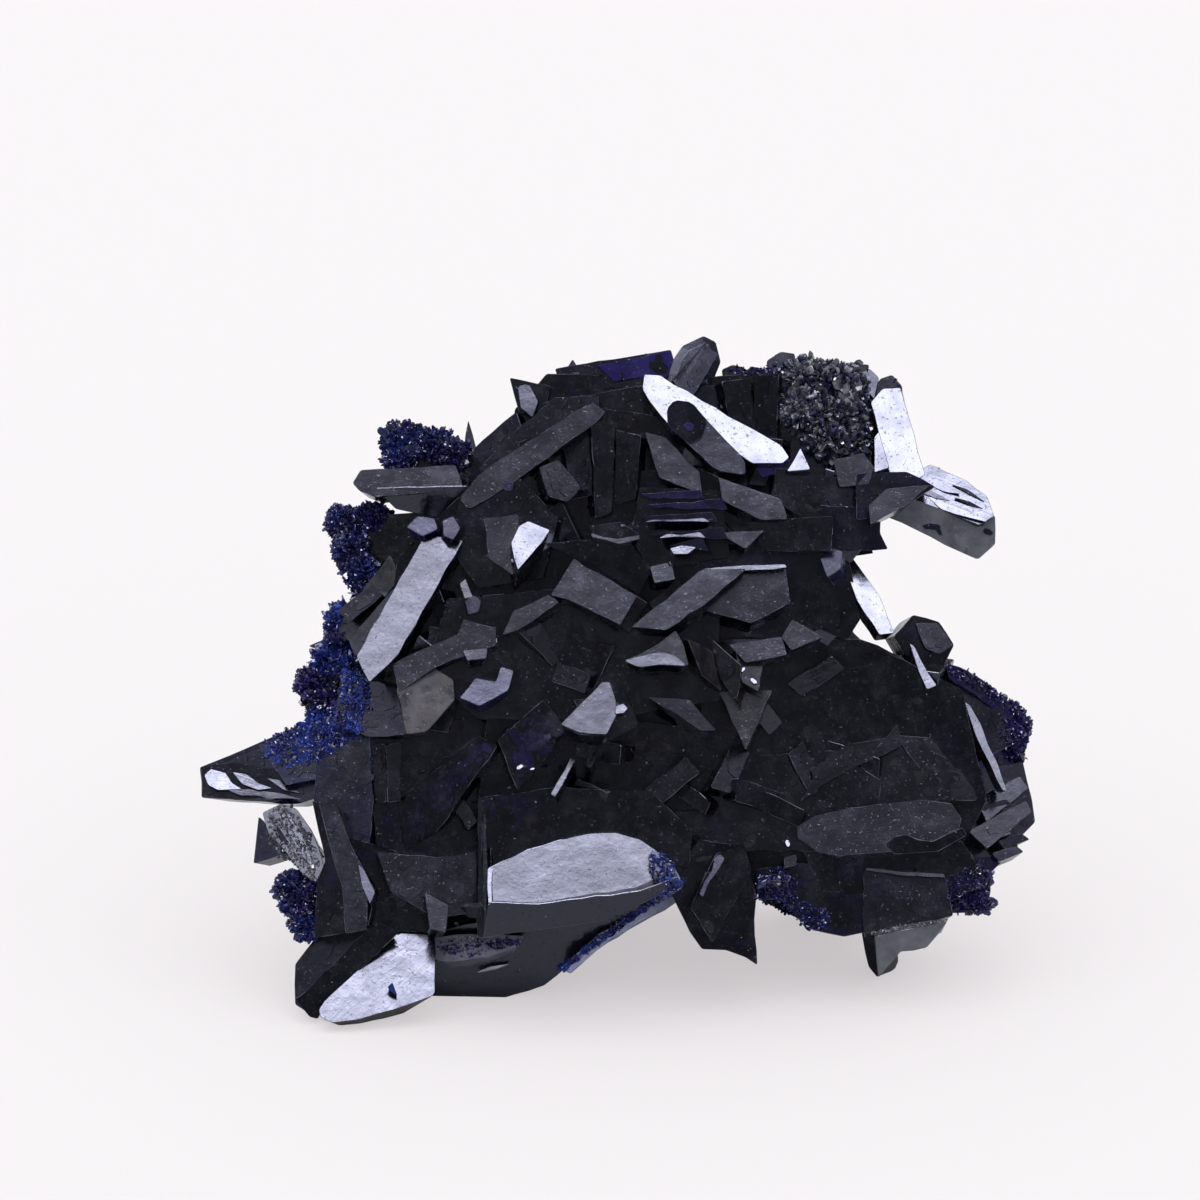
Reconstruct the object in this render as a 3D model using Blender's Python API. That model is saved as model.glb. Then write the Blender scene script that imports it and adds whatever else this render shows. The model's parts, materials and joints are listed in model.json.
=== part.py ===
"""Azurite specimen: one intergrown cluster of tabular and bladed crystals, 52 mm wide.

The crystals are laid out on a front elevation that leans back, as the cluster is usually displayed. Each
crystal is drawn there by the outline of its broad face, in drawing units with y running down. It is then
given a distance in front of the elevation, two tilts in degrees and a thickness in millimetres. All of
them overlap, and one union joins them.
"""

import math
import random

import bmesh
import bpy
from mathutils import Matrix, Vector

MM = 0.001
WIDTH = 52.0  # mm, from the tip of the left horn to the right flank
DISPLAY_TILT = math.radians(20.0)  # the elevation faces a viewer who looks down by this angle
DRAWING_LEFT = 200
DRAWING_RIGHT = 1035
DRAWING_MIDDLE = (DRAWING_LEFT + DRAWING_RIGHT) / 2
GROUND_LINE = 1022  # drawing units, the level of the front foot
UNIT = WIDTH / (DRAWING_RIGHT - DRAWING_LEFT)  # mm to a drawing unit
BEVEL_DEPTH = 0.6  # how far a bevel face drops, as a share of its width
TAPER = 0.84  # the far side of a crystal against its broad face
DOME = 4.5  # mm, how much further back the crystals at the top and the sides sit than those in the middle
DOME_MIDDLE = (620, 730)  # the drawing point that stands out most
DOME_REACH = (400, 380)  # how far from there, sideways and upwards, the dome has fallen by its depth
FEET_TOP = 930  # below this level the feet stay where they are
FEET_FADE = 130
FLAT_ANGLE = math.radians(0.2)  # faces that meet within this angle are one face
GROUND_CUT = 0.35  # mm ground off the lowest tips, which gives the flats that the cluster rests on

RIGHTWARD = Vector((1, 0, 0))
UPWARD = Vector((0, math.sin(DISPLAY_TILT), math.cos(DISPLAY_TILT)))
OUTWARD = Vector((0, -math.cos(DISPLAY_TILT), math.sin(DISPLAY_TILT)))
ELEVATION_FRAME = Matrix((RIGHTWARD, UPWARD, OUTWARD)).transposed()


def on_elevation(x, y):
    """A drawing point as millimetres across, up and out of the elevation."""
    return Vector(((x - DRAWING_MIDDLE) * UNIT, (GROUND_LINE - y) * UNIT, 0))


def dome(x, y):
    """How far back the domed front of the cluster lies at a drawing point, in mm, apart from the feet."""
    sideways = (x - DOME_MIDDLE[0]) / DOME_REACH[0]
    upwards = max(0.0, (DOME_MIDDLE[1] - y) / DOME_REACH[1])
    above_feet = min(1.0, max(0.0, (FEET_TOP - y) / FEET_FADE))
    return -DOME * (sideways**2 * above_feet + upwards**2)


def facing(lean, turn):
    """The direction, in the elevation's frame, of a face that leans up and turns right by so many degrees."""
    lean, turn = math.radians(lean), math.radians(turn)
    return Vector((math.sin(turn) * math.cos(lean), math.sin(lean), math.cos(turn) * math.cos(lean)))


def add_object(name, bm, collection):
    """A mesh object from millimetre points in the elevation's frame."""
    bm.transform(Matrix.Scale(MM, 4) @ ELEVATION_FRAME.to_4x4())
    bmesh.ops.recalc_face_normals(bm, faces=bm.faces)
    mesh = bpy.data.meshes.new(name)
    bm.to_mesh(mesh)
    bm.free()
    obj = bpy.data.objects.new(name, mesh)
    collection.objects.link(obj)
    return obj


def crystal(growth, name, outline, out, lean=0, turn=0, thick=2.0, rim=0.0, taper=TAPER):
    """A tabular crystal: its broad face lies on a tilted plane and covers the drawn outline.

    With a rim, in mm, bevel faces of that width run round the broad face. The taper scales the far side.
    """
    normal = facing(lean, turn)
    points = [on_elevation(x, y) for x, y in outline]
    middle = sum(points, Vector()) / len(points)
    seat = out + dome(middle.x / UNIT + DRAWING_MIDDLE, GROUND_LINE - middle.y / UNIT)
    drop = rim * BEVEL_DEPTH
    bm = bmesh.new()
    corners = []
    for p in points:
        depth = seat - normal.xy.dot(p.xy - middle.xy) / normal.z
        corners.append(bm.verts.new(Vector((p.x, p.y, depth)) - normal * drop))
    face = bm.faces.new(corners)
    face.normal_update()
    if face.normal.dot(normal) < 0:
        face.normal_flip()
    back = bmesh.ops.extrude_face_region(bm, geom=[face], use_keep_orig=True)
    moved = [v for v in back["geom"] if isinstance(v, bmesh.types.BMVert)]
    about = Matrix.Translation(-Vector((middle.x, middle.y, seat)))
    bmesh.ops.scale(bm, verts=moved, vec=(taper, taper, taper), space=about)
    bmesh.ops.translate(bm, verts=moved, vec=-normal * (thick - drop))
    if rim:
        bmesh.ops.inset_region(bm, faces=[face], thickness=rim, depth=drop, use_even_offset=True)
    return add_object(name, bm, growth)


def druse(growth, name, lumps, out, seed):
    """Jagged lumps of small crystals, each given by its middle and its width and height in drawing units."""
    source = random.Random(seed)
    for n, (x, y, width, height) in enumerate(lumps):
        middle = on_elevation(x, y) + Vector((0, 0, out + dome(x, y)))
        radii = Vector((width / 2, height / 2, (width + height) / 4)) * UNIT
        turned = Matrix.Rotation(source.uniform(0, math.pi), 4, "Z")
        turned = turned @ Matrix.Rotation(source.uniform(0, 3), 4, "X")
        bm = bmesh.new()
        bmesh.ops.create_icosphere(bm, subdivisions=1, radius=1.0)
        for v in bm.verts:
            v.co *= source.uniform(0.76, 1.16)
        bm.transform(Matrix.Translation(middle) @ Matrix.Diagonal(radii).to_4x4() @ turned)
        add_object(f"{name}_{n}", bm, growth)


def summit(growth):
    """The ridge along the top, with the apex and the long bright rail below it."""
    crystal(growth, "apex", [(675, 360), (684, 347), (705, 337), (717, 343), (722, 363), (712, 390),
                             (668, 390)], -2.0, 16, 8, 4.5, 0.5)
    crystal(growth, "apex_ridge", [(708, 350), (719, 356), (692, 402), (674, 392)], -0.9, 23, 22, 2.2)
    crystal(growth, "ridge_beam", [(556, 371), (672, 352), (677, 380), (640, 392), (562, 388)],
            -3.0, 6, -4, 3.0)
    crystal(growth, "ridge_tooth", [(565, 376), (574, 361), (583, 376)], -3.2, 5, 10, 1.4)
    crystal(growth, "ridge_body", [(516, 412), (548, 376), (650, 378), (655, 420), (600, 440), (516, 446)],
            -3.6, 2, 3, 7.0)
    crystal(growth, "corner_crystal", [(511, 380), (552, 388), (547, 412), (521, 417)], -2.4, 30, -10, 2.6)
    crystal(growth, "bright_rail", [(645, 377), (661, 378), (702, 403), (781, 448), (789, 460), (782, 466),
                                    (752, 466), (693, 424), (655, 410)], 1.0, 31, 3, 1.6)
    crystal(growth, "thumb", [(668, 412), (675, 404), (692, 406), (745, 462), (746, 478), (716, 473),
                              (690, 448), (668, 428)], 2.5, 15, 4, 2.2, 0.35)
    crystal(growth, "dark_block", [(705, 380), (780, 371), (792, 388), (790, 462), (740, 445), (700, 405)],
            -1.9, 4, -12, 6.0)
    crystal(growth, "dark_block_step", [(722, 384), (752, 381), (752, 434), (728, 420)], -0.9, 3, 22, 2.5)
    crystal(growth, "dark_block_rib", [(753, 378), (779, 376), (777, 444), (757, 436)], -0.8, 1, -18, 2.5)
    crystal(growth, "ridge_bump_left", [(722, 372), (733, 367), (745, 370), (748, 384), (724, 386)],
            -2.2, 10, -15, 2.0)
    crystal(growth, "ridge_bump_right", [(744, 374), (755, 369), (767, 372), (768, 388), (746, 388)],
            -2.0, 13, 20, 2.0)
    crystal(growth, "steel_block", [(767, 363), (781, 354), (795, 356), (796, 386), (768, 387)],
            -1.7, 10, -8, 3.0)


def right_wing(growth):
    """The sparkling lump, the upright bright plate, and the long arm and beak that reach out to the right."""
    druse(growth, "sparkle_lump", [(806, 390, 50, 58), (843, 388, 58, 50), (818, 430, 62, 54),
                                   (852, 424, 44, 52)], -0.9, 11)
    crystal(growth, "lump_shoulder", [(806, 371), (809, 360), (845, 366), (873, 373), (876, 410),
                                      (812, 400)], -2.2, 8, 6, 4.5)
    crystal(growth, "door_chip", [(860, 373), (879, 380), (877, 402), (861, 404)], -0.7, 22, 10, 5.0)
    crystal(growth, "door_tip", [(866, 404), (880, 381), (892, 377), (902, 389), (900, 406)],
            -0.6, 10, -5, 6.0)
    crystal(growth, "bright_door", [(870, 405), (882, 391), (900, 390), (917, 455), (924, 477), (917, 481),
                                    (888, 475), (877, 432)], 1.2, 29, 8, 1.3)
    crystal(growth, "door_sliver", [(873, 440), (878, 434), (888, 470), (873, 475)], 1.9, 31, -6, 1.6)
    crystal(growth, "arm_body", [(880, 500), (922, 469), (965, 483), (985, 498), (994, 516), (994, 546),
                                 (976, 561), (960, 554), (884, 518)], -1.0, -8, 14, 4.0)
    crystal(growth, "arm_top", [(905, 500), (922, 470), (930, 466), (965, 482), (986, 498), (993, 518),
                                (978, 527), (935, 510)], -0.3, 27, 10, 2.0)
    crystal(growth, "beak", [(855, 476), (905, 474), (934, 489), (905, 508), (883, 518), (855, 522)],
            1.9, 4, 6, 3.0)
    crystal(growth, "beak_lens", [(867, 508), (885, 491), (929, 487), (906, 507), (884, 518), (869, 527)],
            2.5, 21, 8, 1.6)
    crystal(growth, "grey_block", [(832, 462), (862, 455), (873, 470), (868, 486), (838, 489)],
            1.7, 17, -8, 3.5)
    crystal(growth, "bright_triangle", [(786, 474), (800, 450), (810, 472)], 1.6, 31, 0, 1.8)
    crystal(growth, "dark_shelf", [(790, 505), (880, 512), (879, 535), (887, 551), (795, 556)],
            0.7, -6, 5, 4.5)
    crystal(growth, "shelf_upper", [(775, 470), (850, 482), (870, 515), (800, 520), (770, 500)],
            0.9, 6, 10, 4.0)
    crystal(growth, "bright_keel", [(840, 552), (849, 555), (880, 600), (893, 634), (878, 636), (856, 602),
                                    (842, 567)], -0.4, 29, 14, 1.6)
    crystal(growth, "keel_bit", [(815, 562), (830, 549), (843, 552), (843, 576), (828, 585)],
            1.2, 22, -10, 2.5)


def left_flank(growth):
    """The long blades and the druse down the left side, to the horn."""
    druse(growth, "left_cushion", [(403, 447, 42, 44), (432, 447, 50, 42), (456, 456, 34, 32)], -3.6, 21)
    crystal(growth, "cushion_seat", [(398, 448), (462, 442), (488, 470), (480, 505), (396, 488)],
            -4.0, 4, -10, 7.0)
    crystal(growth, "cushion_spike", [(466, 450), (470, 422), (478, 450)], -3.6, 8, 5, 1.0)
    crystal(growth, "shoulder_slab", [(474, 452), (505, 424), (518, 414), (530, 450), (490, 478)],
            -2.6, 8, -22, 4.5)
    crystal(growth, "left_arm", [(355, 485), (363, 472), (458, 467), (466, 492), (380, 499), (362, 493)],
            -1.4, 19, -6, 2.0)
    crystal(growth, "left_arm_under", [(378, 490), (470, 488), (470, 520), (440, 520), (398, 511)],
            -1.9, -14, -8, 4.0)
    crystal(growth, "roof_blade", [(592, 404), (609, 416), (505, 492), (470, 512), (461, 500), (484, 474)],
            0.6, 18, -8, 3.0, 0.35)
    crystal(growth, "roof_blade_upper", [(556, 400), (600, 398), (600, 414), (500, 478), (480, 472),
                                         (520, 430)], -0.6, 13, -16, 3.5)
    druse(growth, "upper_lobe", [(347, 525, 42, 38), (372, 519, 44, 34)], -3.6, 31)
    druse(growth, "lower_lobe", [(357, 556, 46, 44), (374, 588, 52, 46)], -3.2, 32)
    crystal(growth, "lobe_seat", [(352, 520), (440, 512), (450, 600), (370, 620), (344, 570)],
            -3.4, 2, -14, 7.0)
    crystal(growth, "left_sail", [(425, 541), (440, 538), (466, 542), (402, 655), (373, 683), (360, 657)],
            1.6, 23, -12, 2.0)
    crystal(growth, "sail_side", [(396, 590), (404, 592), (366, 652), (358, 656), (352, 641)],
            0.8, 16, -24, 1.6)
    crystal(growth, "brown_blade", [(392, 556), (404, 578), (354, 642), (336, 637), (341, 625)],
            -1.2, 12, -24, 2.5)
    crystal(growth, "lilac_scale", [(409, 529), (420, 518), (437, 520), (441, 531), (425, 538)],
            0.9, 22, -6, 2.0)
    crystal(growth, "lilac_prism", [(445, 522), (456, 518), (463, 530), (456, 542), (446, 537)],
            1.2, 23, 10, 2.0)
    druse(growth, "blue_mass_upper", [(343, 625, 36, 42), (338, 656, 54, 46)], -2.3, 41)
    druse(growth, "blue_mass_lower", [(322, 689, 50, 42), (340, 709, 60, 42)], -1.8, 42)
    crystal(growth, "blue_spike", [(311, 647), (330, 639), (332, 654)], -2.4, 10, -10, 0.9)
    crystal(growth, "blue_seat", [(330, 640), (400, 600), (420, 720), (330, 740), (312, 700)],
            -2.6, 4, -16, 6.0)
    crystal(growth, "horn", [(202, 767), (262, 742), (310, 720), (350, 738), (350, 790), (300, 803),
                             (204, 797)], -0.3, 12, -18, 3.0, 0.4)
    crystal(growth, "horn_facet", [(205, 768), (238, 762), (305, 775), (305, 797), (240, 800), (206, 796)],
            0.4, 24, -10, 1.2)
    crystal(growth, "horn_druse_seat", [(262, 745), (345, 715), (360, 770), (290, 785)], 0.3, 14, -14, 2.6)


def left_foot(growth):
    """The post, the druse below the horn and the broad foot at the front left."""
    crystal(growth, "end_crystal", [(266, 812), (285, 803), (300, 808), (316, 830), (328, 865), (320, 881),
                                    (305, 871), (290, 851), (272, 832)], 0.6, 23, -14, 4.5)
    crystal(growth, "end_wing", [(262, 816), (276, 830), (288, 853), (257, 863)], -0.6, 12, -24, 2.0)
    druse(growth, "low_druse", [(300, 890, 44, 38), (304, 917, 46, 42), (318, 900, 40, 40)], -0.4, 51)
    crystal(growth, "lilac_plate", [(322, 742), (372, 733), (377, 800), (373, 843), (342, 836), (317, 800)],
            1.2, 10, -12, 4.0)
    crystal(growth, "left_post", [(316, 800), (341, 804), (353, 840), (379, 890), (371, 928), (318, 936),
                                  (321, 880), (329, 860)], 2.0, 14, -12, 6.5)
    crystal(growth, "post_shadow", [(350, 835), (400, 850), (440, 905), (438, 940), (372, 930)],
            0.2, -4, 6, 4.5)
    crystal(growth, "blue_grey_facet", [(380, 850), (440, 856), (488, 848), (486, 908), (440, 916),
                                        (394, 890)], 1.0, 12, 8, 4.0)
    crystal(growth, "light_patch", [(428, 890), (452, 903), (449, 930), (433, 926)], 1.9, 22, 6, 2.0)
    crystal(growth, "foot_dark", [(319, 936), (299, 970), (300, 1003), (322, 1014), (402, 930), (380, 922)],
            -0.2, -10, -24, 2.4, 0.3)
    crystal(growth, "foot_bright", [(323, 1004), (402, 928), (440, 930), (439, 990), (398, 1006),
                                    (343, 1018)], 0.8, 26, 4, 5.0)


def centre_upper(growth):
    """The field of small plates under the ridge."""
    crystal(growth, "bright_shard", [(530, 523), (552, 532), (545, 543), (520, 572), (513, 545), (521, 528)],
            3.2, 27, 6, 3.5)
    crystal(growth, "shard_plate", [(486, 520), (520, 516), (523, 545), (515, 577), (491, 560)],
            1.8, 16, -8, 2.5)
    crystal(growth, "field_left", [(462, 500), (520, 480), (560, 520), (545, 580), (480, 590), (450, 545)],
            0.0, 4, -8, 5.0)
    crystal(growth, "small_plate", [(541, 470), (560, 462), (583, 490), (570, 504), (550, 499)],
            0.9, 13, 14, 2.5)
    crystal(growth, "prism_left", [(562, 424), (590, 418), (597, 497), (572, 502)], -0.2, 5, -20, 3.5)
    crystal(growth, "prism_middle", [(592, 422), (617, 428), (613, 515), (597, 521)], 0.1, 4, 20, 3.5)
    crystal(growth, "prism_right", [(616, 432), (642, 438), (637, 502), (616, 507)], -0.1, 6, -14, 3.5)
    crystal(growth, "field_upper", [(520, 445), (600, 410), (700, 425), (720, 500), (620, 540), (530, 520)],
            -1.6, 2, 4, 5.0)
    crystal(growth, "rimmed_plate", [(590, 528), (622, 524), (642, 538), (620, 544), (594, 537)],
            1.7, 20, 4, 3.0)
    crystal(growth, "dark_plate", [(545, 545), (626, 540), (652, 570), (640, 597), (590, 565)],
            0.9, 3, 5, 3.5)
    crystal(growth, "pale_plate", [(575, 560), (638, 597), (621, 626), (585, 608), (552, 596)],
            2.4, 18, -6, 2.4)
    crystal(growth, "pale_arm", [(504, 636), (515, 612), (550, 596), (561, 603), (520, 631)],
            2.1, 17, -12, 2.0)
    crystal(growth, "cream_bit", [(461, 584), (470, 579), (477, 598), (465, 601)], 1.3, 23, 0, 1.6)
    crystal(growth, "blue_bit", [(467, 599), (480, 594), (484, 613), (470, 618)], 1.4, 17, 10, 1.6)
    crystal(growth, "slanting_plate", [(645, 434), (666, 440), (700, 474), (703, 498), (660, 480)],
            0.9, 16, 4, 2.4)
    crystal(growth, "slanting_bar", [(718, 479), (781, 501), (787, 521), (760, 522), (722, 502)],
            1.8, 17, 2, 2.4)
    crystal(growth, "stack_seat", [(640, 490), (722, 492), (730, 560), (650, 572), (632, 540)],
            0.2, 2, 0, 4.0)
    for step, (level, left, right, drop) in enumerate([(496, 642, 700, 4), (507, 648, 722, 6),
                                                       (520, 640, 712, 5), (533, 650, 722, 7),
                                                       (545, 668, 702, 9)]):
        crystal(growth, f"stack_{step}", [(left, level), (right, level - drop), (right + 6, level + 5),
                                          (left + 8, level + 10 - drop)], 1.1 + 0.25 * step, 10 + 4 * step,
                12 - 6 * step, 3.0)
    crystal(growth, "green_grey_plate", [(650, 568), (672, 563), (676, 581), (655, 585)], 1.6, 17, 8, 1.8)
    crystal(growth, "sliver", [(720, 535), (764, 532), (745, 551)], 1.6, 17, 4, 1.8)
    crystal(growth, "brown_plate", [(745, 524), (832, 518), (830, 553), (762, 552)], 1.3, 8, -4, 3.0)


def centre_lower(growth):
    """The plates and blades across the middle, over the deep black recess."""
    crystal(growth, "centre_bar", [(632, 628), (700, 572), (746, 570), (702, 608), (666, 631)],
            3.0, 18, -4, 2.6)
    crystal(growth, "bar_shoulder", [(700, 571), (784, 566), (790, 604), (750, 624), (706, 612)],
            2.0, 13, 2, 4.0)
    crystal(growth, "bar_edge", [(702, 570), (784, 565), (786, 569), (740, 574)], 2.6, 27, 2, 2.0)
    crystal(growth, "wedge", [(780, 638), (791, 620), (823, 638), (790, 651)], 2.4, 18, 8, 2.2)
    crystal(growth, "wedge_plate", [(728, 645), (781, 637), (786, 655), (745, 663)], 2.6, 19, -4, 1.4)
    crystal(growth, "white_wing", [(625, 661), (655, 645), (676, 631), (689, 666), (641, 667)],
            3.0, 28, 0, 3.5)
    crystal(growth, "twist_left", [(688, 640), (712, 652), (722, 692), (702, 676)], 2.4, 14, 18, 5.0)
    crystal(growth, "twist_middle", [(712, 640), (741, 666), (736, 702), (716, 672)], 2.2, 10, -18, 3.5)
    crystal(growth, "twist_right", [(735, 645), (764, 660), (758, 692), (741, 682)], 2.2, 16, 12, 3.5)
    crystal(growth, "arc_plate", [(648, 697), (690, 700), (716, 730), (700, 730), (676, 713)],
            1.6, 21, 6, 3.0)
    crystal(growth, "hanging_wedge", [(718, 692), (772, 690), (745, 750)], 1.4, 10, -6, 2.4)
    crystal(growth, "grey_shard", [(562, 724), (603, 682), (611, 682), (629, 708), (616, 716), (608, 734),
                                   (580, 733)], 3.4, 19, 2, 2.6)
    crystal(growth, "shard_stem", [(575, 700), (625, 690), (640, 725), (600, 745)], 1.6, 4, 8, 4.0)
    crystal(growth, "needle_long", [(572, 757), (577, 760), (557, 796), (552, 793)], 1.9, 27, -4, 4.0)
    crystal(growth, "needle_short", [(594, 751), (599, 753), (592, 767), (587, 764)], 1.6, 27, 4, 4.0)
    crystal(growth, "long_bar", [(395, 664), (460, 635), (466, 620), (498, 629), (499, 646), (440, 667),
                                 (402, 692)], 2.0, 14, -6, 3.0)
    crystal(growth, "curved_facet", [(465, 651), (490, 649), (489, 659), (470, 661)], 2.6, 31, 4, 1.4)
    crystal(growth, "tan_plate", [(405, 675), (435, 667), (456, 680), (458, 700), (430, 731), (410, 734),
                                  (400, 690)], 2.3, 16, 4, 2.4)
    crystal(growth, "beside_tan", [(345, 668), (400, 688), (410, 734), (372, 737), (338, 722)],
            1.0, 14, -18, 3.5)
    crystal(growth, "lilac_hook", [(462, 698), (478, 678), (498, 682), (503, 667), (516, 671), (511, 690),
                                   (482, 706)], 1.9, 19, 0, 1.8)
    crystal(growth, "field_middle", [(450, 600), (560, 590), (640, 620), (720, 610), (720, 700), (600, 720),
                                     (480, 720), (430, 670)], 0.2, 2, 0, 6.0)
    crystal(growth, "rib_left", [(376, 744), (388, 741), (389, 802), (377, 803)], 1.0, 4, -28, 2.5)
    crystal(growth, "rib_right", [(389, 745), (404, 742), (404, 800), (391, 802)], 1.1, 6, 22, 2.5)
    crystal(growth, "inner_left", [(372, 728), (500, 715), (500, 855), (380, 860)], -0.4, 2, 6, 6.0)
    crystal(growth, "inner_middle", [(490, 700), (620, 720), (720, 730), (710, 810), (600, 810), (480, 800)],
            -0.9, -2, 2, 6.0)
    crystal(growth, "inner_blade", [(400, 800), (480, 735), (500, 745), (440, 830), (408, 850)],
            0.9, 6, -18, 3.0)
    crystal(growth, "inner_fin", [(500, 740), (545, 700), (570, 730), (520, 790)], 0.9, 8, 14, 3.0)


def right_body(growth):
    """The large dark plates of the right half and its rough flank."""
    crystal(growth, "black_plate", [(700, 655), (760, 640), (860, 640), (905, 660), (905, 758), (830, 758),
                                    (770, 800), (702, 760)], -0.5, 1, 3, 7.0)
    crystal(growth, "under_black", [(660, 790), (760, 755), (830, 750), (880, 780), (870, 850), (700, 850)],
            -0.1, 4, -6, 6.0)
    crystal(growth, "edge_facet", [(828, 757), (896, 735), (946, 758), (949, 800), (820, 812)],
            0.9, 7, 4, 5.0)
    crystal(growth, "edge_facet_right", [(893, 735), (960, 740), (975, 800), (940, 800)], 1.3, 9, 16, 4.0)
    crystal(growth, "oval_plate", [(788, 831), (820, 810), (945, 796), (963, 824), (935, 846), (880, 851),
                                   (825, 856)], 2.1, 13, 0, 4.5)
    crystal(growth, "low_block", [(862, 868), (942, 872), (951, 914), (880, 929), (862, 932)],
            0.4, 7, 2, 6.0)
    crystal(growth, "low_neck", [(800, 845), (960, 840), (985, 880), (950, 900), (820, 890)],
            0.2, -8, 2, 6.0)
    crystal(growth, "knob", [(893, 637), (912, 616), (938, 623), (953, 646), (943, 666), (912, 672)],
            -0.8, 14, 12, 4.0, 0.6)
    crystal(growth, "strip_upper", [(904, 640), (913, 645), (934, 686), (925, 690), (910, 666)],
            1.0, 29, 14, 1.8)
    crystal(growth, "strip_lower", [(961, 700), (970, 705), (1005, 791), (998, 793), (975, 742)],
            0.9, 27, 18, 2.0)
    crystal(growth, "flank_upper", [(900, 655), (944, 662), (976, 680), (1000, 702), (1012, 745),
                                    (960, 770), (900, 740)], -1.0, 8, 16, 6.0)
    crystal(growth, "flank_outer", [(975, 690), (1003, 703), (1022, 722), (1020, 762), (1000, 795),
                                    (968, 760)], -1.6, 8, 30, 6.0)
    crystal(growth, "flank_lower", [(960, 770), (1022, 762), (1031, 800), (1034, 822), (1018, 838),
                                    (1003, 858), (965, 870), (930, 830)], -0.8, 12, 20, 6.0)
    crystal(growth, "flank_rib_high", [(972, 800), (1018, 776), (1027, 788), (985, 822)], 0.4, 19, 12, 2.0)
    crystal(growth, "flank_rib_low", [(966, 830), (1024, 800), (1030, 812), (985, 848)], 0.4, 17, 18, 2.0)
    crystal(growth, "flank_foot", [(940, 855), (1003, 858), (988, 873), (989, 890), (984, 911), (945, 912)],
            -1.2, 4, 14, 5.0)
    druse(growth, "flank_druse", [(1006, 722, 48, 40), (1012, 750, 38, 44)], -2.0, 61)
    druse(growth, "flank_druse_low", [(970, 885, 42, 38), (963, 902, 36, 26)], -1.4, 62)
    crystal(growth, "pinkish_bit", [(1004, 844), (1015, 841), (1017, 853), (1007, 856)], -0.2, 19, 10, 1.6)


def base(growth):
    """The front block, the slab below it, the spur and the right foot."""
    crystal(growth, "block_back", [(484, 796), (560, 786), (650, 790), (693, 830), (690, 862), (640, 903),
                                   (484, 934)], 1.0, 1, 0, 7.0)
    crystal(growth, "front_block", [(491, 866), (530, 848), (560, 839), (617, 832), (641, 838), (665, 861),
                                    (676, 876), (640, 890), (540, 903), (491, 903)], 2.9, 24, 3, 3.4)
    crystal(growth, "front_strip", [(491, 899), (540, 901), (640, 888), (677, 874), (684, 884), (604, 918),
                                    (486, 935)], 4.2, -2, 2, 4.0)
    crystal(growth, "block_side", [(480, 796), (493, 800), (493, 934), (480, 936)], 1.3, 4, -35, 2.0)
    crystal(growth, "base_slab", [(437, 932), (500, 915), (620, 900), (622, 920), (571, 963), (546, 984),
                                  (501, 998), (440, 1001)], -2.3, -9, -3, 6.0)
    crystal(growth, "slab_step", [(441, 934), (522, 934), (516, 958), (443, 966)], -1.3, 2, -4, 2.5)
    crystal(growth, "blue_keel", [(560, 970), (600, 930), (680, 880), (684, 900), (640, 925), (572, 972)],
            -1.9, -4, 10, 4.0)
    crystal(growth, "spur", [(672, 893), (690, 930), (702, 947), (726, 948), (745, 955), (757, 963),
                             (754, 918), (756, 895), (745, 845), (700, 838), (682, 860)], 0.4, -4, 4, 4.0)
    crystal(growth, "spur_ridge", [(690, 905), (716, 852), (744, 842), (752, 870), (712, 940)],
            1.1, 8, 16, 2.5)
    crystal(growth, "low_mass", [(755, 868), (800, 862), (864, 866), (867, 930), (843, 935), (810, 928),
                                 (796, 914), (780, 898), (757, 898)], -0.6, -8, 0, 7.0)
    druse(growth, "low_mass_druse", [(806, 911, 48, 34), (775, 889, 42, 28)], -0.4, 71)
    crystal(growth, "cream_strip", [(757, 874), (791, 873), (792, 880), (758, 882)], 0.4, 23, 0, 1.6)
    crystal(growth, "white_bit", [(783, 856), (796, 853), (796, 864), (784, 866)], 0.8, 27, 10, 1.4)
    crystal(growth, "right_foot", [(873, 929), (948, 918), (926, 947), (900, 951), (893, 959), (878, 977)],
            -5.4, 10, 12, 4.0)
    crystal(growth, "right_foot_side", [(860, 925), (880, 925), (882, 965), (877, 977), (868, 966)],
            -5.5, -2, -22, 3.0)
    crystal(growth, "right_foot_neck", [(850, 900), (950, 895), (945, 925), (865, 938)], -5.0, -10, 0, 5.0)


def trunk(growth):
    """The thick crystals at the middle, from which the others grow. They narrow towards the back."""
    crystal(growth, "trunk_top", [(510, 470), (545, 405), (640, 388), (760, 388), (865, 410), (875, 500),
                                  (840, 560), (600, 600), (520, 560)], -3.0, 6, 0, 9.0, 1.2, 0.5)
    crystal(growth, "trunk_middle", [(400, 560), (480, 480), (700, 470), (845, 540), (860, 620), (800, 720),
                                     (500, 740), (380, 700)], -2.4, 0, 0, 14.0, 1.2, 0.55)
    crystal(growth, "trunk_bottom", [(345, 700), (500, 640), (860, 640), (960, 690), (985, 800), (940, 885),
                                     (720, 895), (480, 900), (350, 850)], -1.8, -3, 0, 14.0, 1.2, 0.66)


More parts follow.
